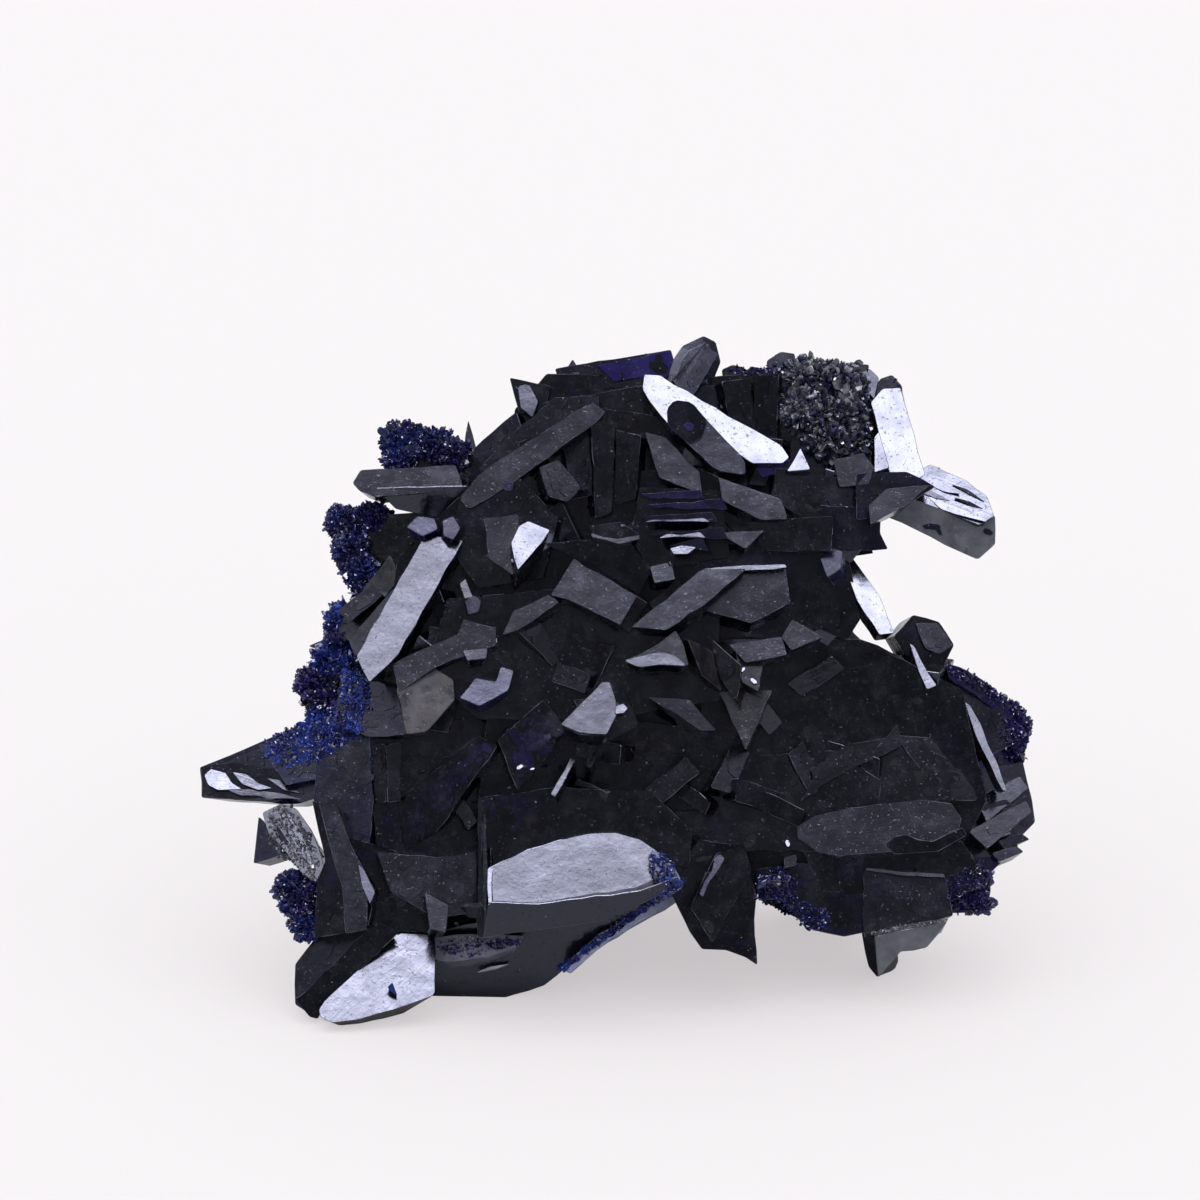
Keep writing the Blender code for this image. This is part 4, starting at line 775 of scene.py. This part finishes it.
def blade(size, place, pointed):
    """A rear crystal: a rectangular blade of a width, a thickness and a length, with bevels if pointed."""
    piece = bpy.context.object
    wide, thick, long = size
    bpy.ops.mesh.select_all(action="DESELECT")
    bpy.ops.mesh.primitive_cube_add(size=1.0)
    bpy.ops.transform.resize(value=size, center_override=(0, 0, 0))
    if pointed:
        select_only(piece, lambda f: f.select and f.normal.z > 0.9)
        bpy.ops.mesh.inset(thickness=thick * 0.36, depth=thick * 0.6)
        bpy.ops.mesh.select_linked()
    bm = bmesh.from_edit_mesh(piece.data)
    stand = FROM_ELEVATION @ place
    bmesh.ops.transform(bm, matrix=stand, verts=[v for v in bm.verts if v.select])
    along = (stand.to_3x3() @ Vector((0, 0, 1))).normalized()
    flat = (stand.to_3x3() @ Vector((0, 1, 0))).normalized()
    bmesh.update_edit_mesh(piece.data)
    bevel_edges_with_highlight(piece, along, flat, (0.0, 0.0, 0.0), 0.0, 0.3)


def hidden_from_front(tip):
    """Whether a point in the elevation's frame lies behind the drawn crystals, clear of the right notch."""
    x = tip.x / UNIT + DRAWING_MIDDLE
    y = GROUND_LINE - tip.y / UNIT
    middle, waist = 640, 660
    half_width, upper_reach, lower_reach = 320, 265, 235
    in_notch = x > 850 and y < waist
    reach = lower_reach if y > waist else upper_reach
    return not in_notch and ((x - middle) / half_width) ** 2 + ((y - waist) / reach) ** 2 < 1.0


piece = begin_growth("rear")
source = random.Random(7)
heart = on_elevation(650, 690) + Vector((0, 0, -10.0))
spread = Vector((14.5, 10.5, 6.5))  # mm across, up and out
GOLDEN_ANGLE = math.radians(137.5)  # spaces the blades evenly over the trunk
blades = 32
for n in range(blades):
    height = 1.0 - 1.1 * (n + 0.5) / blades
    around = n * GOLDEN_ANGLE
    level = math.sqrt(1.0 - height * height)
    outward = Vector((level * math.cos(around), level * math.sin(around), -height))
    seat = heart + Vector(a * b for a, b in zip(outward, spread)) * source.uniform(0.9, 1.05)
    sway = Vector(source.uniform(-0.7, 0.7) for _ in range(3))
    axis = (outward + sway).normalized()
    long, wide = source.uniform(8.0, 13.0), source.uniform(4.5, 8.0)
    thick = source.uniform(1.8, 3.4)
    spin = Matrix.Rotation(source.uniform(0, math.pi), 4, "Z")
    if hidden_from_front(seat + axis * long * 0.3):
        stand = axis.to_track_quat("Z", "Y").to_matrix().to_4x4()
        place = Matrix.Translation(seat - axis * long * 0.25) @ stand @ spin
        blade((wide, thick, long), place, n % 3 == 0)
source = random.Random(31)
upright = Matrix((RIGHTWARD, UPWARD, OUTWARD)).to_4x4()
heart = Vector((1.5, 12.0, 0.0))
# Each tier's height, its reach to the sides and to the rear in mm, and its lean from upright in degrees.
tiers = [(13.5, 16.0, 10.5, 62), (8.0, 16.5, 9.5, 84), (3.4, 14.5, 8.0, 128)]
blades = 6
for tier, (height, sideways, rearward, lean) in enumerate(tiers):
    for n in range(blades):
        place_in_tier = (n + 0.5 * (tier % 2) + source.uniform(-0.2, 0.2)) / (blades - 0.5)
        around = math.radians(-80 + 160 * place_in_tier)
        outward = Vector((math.sin(around), math.cos(around), 0))
        level = height + source.uniform(-1.2, 1.2)
        seat = heart + Vector((outward.x * sideways, outward.y * rearward, level))
        tilt = math.radians(lean + source.uniform(-18, 18))
        axis = outward * math.sin(tilt) + Vector((source.uniform(-0.4, 0.4), 0, math.cos(tilt)))
        size = (source.uniform(4.5, 7.5), source.uniform(2.0, 3.4), source.uniform(8.5, 12.0))
        spin = Matrix.Rotation(source.uniform(0, math.pi), 4, "Z")
        stand = axis.to_track_quat("Z", "Y").to_matrix().to_4x4()
        place = upright @ Matrix.Translation(seat - axis.normalized() * size[2] * 0.3) @ stand @ spin
        blade(size, place, (n + tier) % 3 == 0)
end_growth(piece)

# ---------------------------------------------------------------------------------------------------------
# Druse: crusts of blue crystals, each well under a millimetre, that grew last over the flanks.
# Such small crystals let light through, so they are the blue that azurite is known for.

druse_azurite, tree, shader = new_material("azurite_druse")
place = node(tree, "ShaderNodeTexCoord").outputs["Object"]
blueness, violetness, pale_grains_and_glints = marks_of(tree, "tint")
cloud = noise_of(tree, place, 1400.0, 3.0)
fleck = stretched(tree, cloud, 0.35, 0.65, 0.35, 1.2)
body = laid_over(tree, linear("0a0b18"), times(tree, blueness, fleck), "233e9f")
body = laid_over(tree, body, times(tree, violetness, fleck), "211263")
# Pale grains: painted glints on the sparkling lump, and pale grains of the crusts elsewhere.
body = laid_over(tree, body, pale_grains_and_glints, "888b93")
tree.links.new(body, shader.inputs["Base Color"])
tree.links.new(stretched(tree, cloud, 0.3, 0.7, 0.15, 0.4), shader.inputs["Roughness"])
tree.links.new(relief_of(tree, cloud, 2.0e-5), shader.inputs["Normal"])
shader.inputs["IOR"].default_value = 1.76
shader.inputs["Specular IOR Level"].default_value = 0.36

bpy.ops.object.select_all(action="DESELECT")
bpy.ops.mesh.primitive_cube_add(size=1.0, location=(0, 0, 0.5))
seed_crystal = bpy.context.object
bpy.ops.object.transform_apply(location=True)
bpy.ops.object.mode_set(mode="EDIT")
for deepen, (across, thin) in ((0.0, (0.8, 0.9)), (0.22, (0.55, 0.12))):
    if deepen:
        bpy.ops.mesh.extrude_region_move(TRANSFORM_OT_translate={"value": (0.06, 0, deepen)})
    else:
        select_only(seed_crystal, lambda f: f.normal.z > 0.9)
    bpy.ops.transform.resize(value=(across, thin, 1), center_override=(0, 0, 1))
bpy.ops.object.mode_set(mode="OBJECT")
seed_needle = ([v.co.copy() for v in seed_crystal.data.vertices],
               [list(p.vertices) for p in seed_crystal.data.polygons])
bpy.data.objects.remove(seed_crystal)


def grow_druse(name, crystals, material, seed=seed_needle):
    """One mesh of many small crystals: each has a foot, an axis, a spin, sizes in mm, a skew and a tint."""
    points, faces, tints = [], [], []
    for foot, axis, spin, size, skew, tint in crystals:
        stand = axis.to_track_quat("Z", "Y").to_matrix() @ Matrix.Rotation(spin, 3, "Z")
        stand = stand @ Matrix.Diagonal(size) * MM
        first = len(points)
        points += [foot + stand @ Vector((p.x + skew * p.y, p.y * (1 + skew * p.x), p.z)) for p in seed[0]]
        faces += [[first + i for i in f] for f in seed[1]]
        tints += tint * len(seed[1])
    mesh = bpy.data.meshes.new(name)
    mesh.from_pydata(points, [], faces)
    mesh.attributes.new("tint", "FLOAT_VECTOR", "FACE").data.foreach_set("vector", tints)
    growth_map = [c / MM for f in faces for i in f for c in (points[i].x, points[i].z)]
    mesh.uv_layers.new(name="growth").data.foreach_set("uv", growth_map)
    mesh.materials.append(material)
    piece = bpy.data.objects.new(name, mesh)
    bpy.context.scene.collection.objects.link(piece)
    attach(piece, "root")
    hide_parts("azurite_cluster")
    return piece


def random_direction(source):
    """A unit vector, any way."""
    z = source.uniform(-1, 1)
    around = source.uniform(0, 2 * math.pi)
    level = math.sqrt(1 - z * z)
    return Vector((level * math.cos(around), level * math.sin(around), z))


def inside_box(point, margin=0.05):
    """Whether a point lies within the cluster's own box."""
    return all(low + margin * MM < c < high - margin * MM for c, low, high in zip(point, *cad_box))


def tip_of(foot, axis, length):
    """Where a druse crystal ends: 1.2 times its length in mm from its foot, with its slanting tip."""
    return foot + axis * length * 1.2 * MM


def small_crystal(source, foot, axis, length, tint):
    """A druse crystal of some length in mm, as flat and as wide as such crystals grow."""
    size = (length * source.uniform(0.35, 0.8), length * source.uniform(0.12, 0.35), length)
    return foot, axis, source.uniform(0, math.pi), size, source.uniform(-0.3, 0.3), tint


def lump_crystals(lumps, out, per_lump, long, seed, tint_of):
    """Crystals that stand out all round each uneven lump, which is given by its middle, width and height."""
    source = random.Random(seed)
    made = []
    for x, y, width, height in lumps:
        middle = on_elevation(x, y) + Vector((0, 0, out + dome(x, y)))
        radii = Vector((width / 2, height / 2, (width + height) / 4)) * UNIT
        for _ in range(per_lump):
            way = random_direction(source)
            length = source.uniform(*long) * (1.8 if source.random() < 0.06 else 1.0)
            swell = source.uniform(0.72, 0.9) + 0.30 * noise.noise(way * 1.7 + middle)
            spot = middle + Vector(a * b for a, b in zip(way, radii)) * swell
            axis = (way + random_direction(source) * 0.6).normalized()
            foot = FROM_ELEVATION @ (spot - axis * length * 0.4)
            axis = (FROM_ELEVATION.to_3x3() @ axis).normalized()
            if inside_box(tip_of(foot, axis, length)):
                made.append(small_crystal(source, foot, axis, length, tint_of(source, foot / MM)))
    return made


def navy(source, spot):
    """Mostly near black, and blue or violet where the crystals are thin enough for the light."""
    drift = 0.5 + 0.8 * noise.noise(spot * 0.8)
    return (drift * source.uniform(0.1, 0.6), (1 - drift) * source.uniform(0.1, 0.7), 0.0)


def bright_blue(source, spot):
    """The blue of thin azurite, violet in places, with rare pale grains."""
    drift = 0.55 + 0.9 * noise.noise(spot * 0.7)
    return (drift * source.uniform(0.4, 1.0), (1 - drift) * source.uniform(0.2, 0.8),
            0.5 * (source.random() < 0.02 + 0.10 * max(0.0, drift - 0.8)))


def violet_black(source, spot):
    """Near black to deep violet."""
    drift = 0.5 + 0.8 * noise.noise(spot * 0.8)
    return (0.15 * source.random(), drift * source.uniform(0.3, 1.0), 0.0)


def sparkling(source, spot):
    """Grey and black, with a few pale grains painted in as glints."""
    drift = 0.5 + 0.9 * noise.noise(spot * 1.1)
    return (0.12 * source.random(), 0.05 * source.random(),
            1.3 if source.random() < 0.06 else max(0.05, drift) * source.random() ** 2.2)


# Each crust's name, its lumps' middles, widths and heights, its distance out in mm, and its colour.
lumps = [
    ("cushion", [(398, 446, 30, 40), (414, 441, 34, 30), (436, 447, 44, 36), (456, 456, 30, 28),
                 (402, 462, 34, 30)], -3.6, navy),
    ("upper_lobe", [(342, 524, 28, 32), (356, 530, 34, 34), (376, 520, 38, 30)], -3.6, navy),
    ("lower_lobe", [(354, 552, 38, 38), (364, 574, 40, 38), (378, 592, 46, 38)], -3.2, navy),
    ("blue_mass_upper", [(343, 622, 30, 36), (346, 644, 40, 34), (332, 664, 38, 36), (352, 672, 34, 40)],
     -2.3, bright_blue),
    ("blue_mass_dark", [(316, 684, 36, 32), (328, 700, 44, 28), (346, 694, 34, 30)], -1.8, violet_black),
    ("blue_mass_lower", [(330, 716, 44, 24), (352, 712, 42, 30)], -1.4, bright_blue),
    ("low_druse", [(296, 884, 30, 30), (304, 902, 40, 34), (310, 922, 34, 32), (320, 892, 34, 34)],
     -0.4, navy),
    ("flank_druse", [(1002, 714, 36, 26), (1016, 728, 28, 34), (1008, 748, 32, 30)], -2.2, violet_black),
    ("flank_druse_low", [(974, 876, 28, 22), (966, 892, 34, 22), (976, 902, 24, 18)], -1.4, violet_black),
]
for number, (name, group, out, tint_of) in enumerate(lumps):
    grow_druse(name, lump_crystals(group, out, 900, (0.13, 0.42), 100 + number, tint_of), druse_azurite)
sparkle = [(800, 382, 34, 40), (802, 412, 42, 40), (824, 380, 40, 36), (844, 384, 40, 38), (856, 398, 20, 30),
           (824, 420, 48, 44), (848, 418, 36, 50), (828, 444, 44, 30), (856, 440, 22, 34)]
grow_druse("sparkle", lump_crystals(sparkle, -0.9, 560, (0.22, 0.6), 99, sparkling), druse_azurite)

# ---------------------------------------------------------------------------------------------------------
# Last growth: thin crusts of the same small azurite crystals where they settled on the broad faces, low
# terraces where a large crystal went on growing in patches, and single blades on the sides and the back.


def skin_of(pieces):
    """The outer surface of some pieces, to set small crystals on."""
    points, faces = [], []
    for piece in pieces:
        first = len(points)
        points += [v.co.copy() for v in piece.data.vertices]
        faces += [[first + i for i in p.vertices] for p in piece.data.polygons]
    return BVHTree.FromPolygons(points, faces)


skin = skin_of(grown)
IN_FRONT = Vector((0, 0, 40))  # mm, well clear of every crystal


def front_surface(x, y):
    """The point of the surface at a drawing point, and the way it faces."""
    spot, normal, _, _ = skin.ray_cast(FROM_ELEVATION @ (on_elevation(x, y) + IN_FRONT), -OUTWARD)
    return spot, normal


def crust(name, patches, tint_of, long, seed):
    """Small crystals scattered over drawn patches: middle, width, height, turn in degrees and number."""
    source = random.Random(seed)
    made = []
    for x, y, width, height, turned, count in patches:
        along = Matrix.Rotation(math.radians(turned), 2)
        for _ in range(count):
            ragged = 1 + 0.5 * noise.noise(Vector((x, y, len(made) * 0.01)))
            reach = math.sqrt(source.random()) * ragged
            around = source.uniform(0, 2 * math.pi)
            step = Vector((reach * math.cos(around) * width / 2, reach * math.sin(around) * height / 2))
            step = along @ step
            spot, normal = front_surface(x + step.x, y + step.y)
            if spot is None:
                continue
            length = source.uniform(*long)
            axis = (normal + random_direction(source) * 0.8).normalized()
            foot = spot - axis * length * 0.45 * MM
            if inside_box(tip_of(foot, axis, length)) and foot.z > 0:
                made.append(small_crystal(source, foot, axis, length, tint_of(source, foot / MM)))
    return grow_druse(name, made, druse_azurite)


def vivid(source, spot):
    """The strongest blue, with rare pale grains."""
    drift = 0.6 + 0.8 * noise.noise(spot * 0.9)
    return (drift * source.uniform(0.5, 1.1), (1 - drift) * source.uniform(0.1, 0.8),
            0.7 * (source.random() < 0.04))


def lilac(source, spot):
    """Violet, with one grain in five pale."""
    return (source.uniform(0.05, 0.3), source.uniform(0.2, 0.8),
            0.8 * source.random() * (source.random() < 0.22))


def pale(source, spot):
    """Whitish grains, as on an etched or dusty face."""
    drift = 0.5 + 0.9 * noise.noise(spot * 1.2)
    return (0.05, 0.0, max(0.3, drift) * source.uniform(0.4, 1.2))


crust("horn_crust", [(310, 742, 80, 42, -15, 1200), (338, 728, 56, 34, 0, 700), (358, 694, 30, 56, 0, 500)],
      vivid, (0.12, 0.38), 201)
crust("block_crust", [(664, 866, 24, 34, -30, 260)] +
      [(567 + 11 * k, 963 - 8.0 * k, 18, 8, -36, 80) for k in range(11)], vivid, (0.10, 0.28), 202)
crust("pale_crust", [(470, 938, 44, 8, -4, 70), (452, 946, 26, 12, 0, 50), (909, 924, 74, 4, -9, 150),
                    (600, 938, 60, 8, -38, 40)], pale, (0.10, 0.22), 208)
crust("slab_crust", [(468, 946, 60, 18, 0, 160), (505, 941, 44, 10, -8, 100)], lilac, (0.10, 0.28), 203)
crust("end_crust", [(297, 842, 40, 84, -28, 420)], pale, (0.12, 0.3), 204)
crust("flank_crust", [(1014, 728, 34, 46, 0, 300), (975, 684, 70, 14, 32, 200), (966, 890, 44, 46, 0, 420)],
      violet_black, (0.12, 0.35), 205)
crust("low_crust", [(776, 888, 42, 36, 0, 420), (806, 914, 50, 24, 8, 260)], navy, (0.12, 0.4), 206)
crust("ridge_crust", [(760, 372, 60, 12, 0, 160), (840, 366, 70, 10, 6, 120), (900, 384, 12, 8, 0, 30)],
      violet_black, (0.12, 0.35), 207)

bpy.ops.object.select_all(action="DESELECT")
bpy.ops.mesh.primitive_cylinder_add(vertices=6, radius=0.5, depth=1.0)
tablet = bpy.context.object
seed_tablet = ([v.co.copy() for v in tablet.data.vertices], [list(p.vertices) for p in tablet.data.polygons])
bpy.data.objects.remove(tablet)
mirror_face = (FROM_ELEVATION.to_3x3() @ facing(29.5, 0)).normalized()


def terrace(source, spot, normal):
    """A low tablet nearly level with the face it grew on, or None where the face stays clean or is too small.

    Faces that mirror the lamp stay clean, as do the undersides and a strip above the ground.
    """
    from_mirror = math.degrees(normal.angle(mirror_face))
    faces_front = normal.dot(OUTWARD) > 0.6
    if from_mirror < 18 or from_mirror > 41 and faces_front or normal.z < -0.1 or spot.z < 0.8 * MM:
        return None
    tilt = math.tan(math.radians(source.uniform(0.0, min(8.0, 0.35 * (from_mirror - 14)))))
    axis = (normal + random_direction(source) * tilt).normalized()
    long = 0.5 + 2.3 * source.random() ** 2
    size = (long, long * source.uniform(0.3, 0.75), source.uniform(0.10, 0.20))
    spin = source.uniform(0, math.pi)
    stand = axis.to_track_quat("Z", "Y").to_matrix() @ Matrix.Rotation(spin, 3, "Z")
    for corner in ((1, 1), (1, -1), (-1, 1), (-1, -1)):
        end = spot + stand @ Vector((corner[0] * size[0], corner[1] * size[1], 0)) * 0.42 * MM
        _, facing_there, _, gap = skin.find_nearest(end)
        if gap > 0.10 * MM or facing_there.dot(normal) < 0.95 or not inside_box(end, 0.2):
            return None
    drift = noise.noise(spot * 160.0)
    tint = (max(0.0, -drift - 0.3) * 0.3, max(0.0, drift - 0.3) * 0.5, 0.05 * (source.random() < 0.06))
    return spot - axis * size[2] * 0.12 * MM, axis, spin, size, source.uniform(-0.35, 0.35), tint


chips = []  # single tablets that happen to mirror the lamp
for x, y, size in [(424, 772, 5), (522, 767, 5), (534, 769, 3), (547, 766, 4), (487, 720, 5), (742, 671, 4),
                   (753, 682, 5), (787, 843, 5), (905, 560, 2)]:
    spot, _ = front_surface(x, y)
    if spot is not None:
        size = (1.6 * size * UNIT, 0.9 * size * UNIT, 0.2)
        chips.append((spot, mirror_face, x, size, 0.3, (0.0, 0.0, 0.0)))
grow_druse("chips", chips, azurite, seed_tablet)

source = random.Random(300)
terraces = []
for _ in range(6500):
    x, y = source.uniform(200, 1036), source.uniform(345, 1012)
    spot, normal = front_surface(x, y)
    on_arm = x > 890 and y < 570
    if spot is not None and not on_arm:
        terraces.append(terrace(source, spot, normal))
grow_druse("terraces_front", [t for t in terraces if t], azurite, seed_tablet)
centre = (cad_box[0] + cad_box[1]) / 2
OUTSIDE = 80 * MM  # farther from the centre than any crystal
terraces, blades = [], []
for _ in range(7000):
    way = random_direction(source)
    target = centre + Vector(source.uniform(-0.6, 0.6) * c for c in (cad_box[1] - centre))
    spot, normal, _, _ = skin.ray_cast(target + way * OUTSIDE, -way)
    if spot is None or way.dot(OUTWARD) > 0.4:
        continue
    terraces.append(terrace(source, spot, normal))
    length = source.uniform(0.5, 1.0) * source.uniform(0.8, 2.4)
    axis = (normal * 0.6 + random_direction(source)).normalized()
    foot = spot - axis * length * 0.5 * MM
    if len(blades) < 260 and axis.dot(normal) > 0.2 and spot.z > 1.5 * MM:
        tip = tip_of(foot, axis, length)
        unseen_from_front = skin.ray_cast(tip, OUTWARD)[0] is not None
        if unseen_from_front and inside_box(tip, 0.2):
            blades.append(small_crystal(source, foot, axis, length, (0.06 * source.random(), 0.0, 0.0)))
grow_druse("terraces_round", [t for t in terraces if t], azurite, seed_tablet)
grow_druse("small_blades", blades, azurite)

# ---------------------------------------------------------------------------------------------------------
# Floor, light and camera: a plain pale table under a soft overhead light.
# The table is matt white paper, rolled out flat. It takes a soft shadow, lightened by a glow painted in for
# the camera over a darker paper, and glossy faces see it painted greyer.

bpy.ops.object.select_all(action="DESELECT")
bpy.ops.mesh.primitive_plane_add(size=6.0)
floor = bpy.context.object
floor.name = "floor"
paper, tree, shader = new_material("matt_paper")
ray = node(tree, "ShaderNodeLightPath")
# Painted: greyer paper in reflections, and darker paper with a glow to the camera, which lightens its shadow.
white = laid_over(tree, linear("f4f3f3"), ray.outputs["Is Glossy Ray"], "c8c8cc")
white = laid_over(tree, white, ray.outputs["Is Camera Ray"], "939394")
tree.links.new(white, shader.inputs["Base Color"])
glow = times(tree, ray.outputs["Is Camera Ray"], 0.54, held=False)
tree.links.new(glow, shader.inputs["Emission Strength"])
shader.inputs["Emission Color"].default_value = linear("fff9fc")
shader.inputs["Roughness"].default_value = 0.95
shader.inputs["Specular IOR Level"].default_value = 0.1
floor.data.materials.append(paper)

# The room is white to the eye and to the floor. What glossy faces mirror is a long soft lamp high in front
# of the cluster, which fades into a dark ceiling and walls.
LAMP_HEIGHT = math.radians(79.0)  # above the horizon, in front
lamp_direction = Vector((0.0, -math.cos(LAMP_HEIGHT), math.sin(LAMP_HEIGHT)))
LAMP_LENGTH = 0.42  # how much the room is squashed sideways, which draws the lamp out to a long one
FADED = 120.0  # degrees from the lamp, where the walls are darkest
world = bpy.data.worlds.new("studio")
bpy.context.scene.world = world
world.use_nodes = True
tree = world.node_tree
tree.nodes.clear()
away = node(tree, "ShaderNodeTexCoord").outputs["Generated"]
away = node(tree, "ShaderNodeVectorMath", {0: away, 1: (LAMP_LENGTH, 1.0, 1.0)}, operation="MULTIPLY")
away = away.outputs[0]
away = node(tree, "ShaderNodeVectorMath", {0: away}, operation="NORMALIZE").outputs[0]
away = node(tree, "ShaderNodeVectorMath", {0: away, 1: lamp_direction}, operation="DOT_PRODUCT")
away = node(tree, "ShaderNodeMath", {0: away.outputs["Value"]}, operation="ARCCOSINE")
away = node(tree, "ShaderNodeMapRange", {0: away.outputs[0], 1: 0.0, 2: math.radians(FADED)})
fade = node(tree, "ShaderNodeValToRGB", {0: away.outputs[0]})
# Degrees from the lamp, and how bright the room is there.
steps = [(0, 1.0), (6, 1.0), (9, 0.5), (12, 0.32), (15, 0.22), (18, 0.14), (22, 0.08), (27, 0.048),
         (32, 0.032), (38, 0.020), (45, 0.012), (54, 0.0075), (70, 0.0045), (120, 0.0045)]
stops = fade.color_ramp.elements
for degrees, strength in steps[1:-1]:
    stops.new(degrees / FADED)
for stop, (degrees, strength) in zip(stops, steps):
    stop.color = (strength * 0.93, strength * 0.91, strength, 1.0)
mirrored = node(tree, "ShaderNodeBackground", {"Color": fade.outputs[0], "Strength": 24.0})
soft = node(tree, "ShaderNodeBackground", {"Color": (1.0, 1.0, 1.0, 1.0), "Strength": 1.4})
seen = node(tree, "ShaderNodeBackground", {"Color": (1.0, 1.0, 1.0, 1.0), "Strength": 1.0})
ray = node(tree, "ShaderNodeLightPath")
sky = node(tree, "ShaderNodeMixShader", {0: ray.outputs["Is Glossy Ray"], 1: soft.outputs[0],
                                         2: mirrored.outputs[0]})
sky = node(tree, "ShaderNodeMixShader", {0: ray.outputs["Is Camera Ray"], 1: sky.outputs[0],
                                         2: seen.outputs[0]})
node(tree, "ShaderNodeOutputWorld", {"Surface": sky.outputs[0]})
bpy.context.scene.view_settings.view_transform = "Standard"

DISTANCE = 1.2  # metres
PICTURE = 1200  # drawing units across the picture
HORN_TIP, APEX = 202, 337  # drawing units, from the picture's left side and from its top
top = max(v.co.dot(UPWARD) for v in frame["nodes"]["azurite_cluster"].data.vertices)
left = cad_box[0].x
aim = RIGHTWARD * (left + (PICTURE / 2 - HORN_TIP) * UNIT * MM)
aim += UPWARD * (top - (PICTURE / 2 - APEX) * UNIT * MM)
camera = bpy.data.cameras.new("camera")
camera.sensor_width = 36.0
camera.lens = camera.sensor_width * DISTANCE / (PICTURE * UNIT * MM)
camera.clip_start = 0.01
view_point = bpy.data.objects.new("camera", camera)
view_point.location = aim + OUTWARD * DISTANCE
view_point.rotation_euler = (-OUTWARD).to_track_quat("-Z", "Y").to_euler()
bpy.context.scene.collection.objects.link(view_point)
bpy.context.scene.camera = view_point
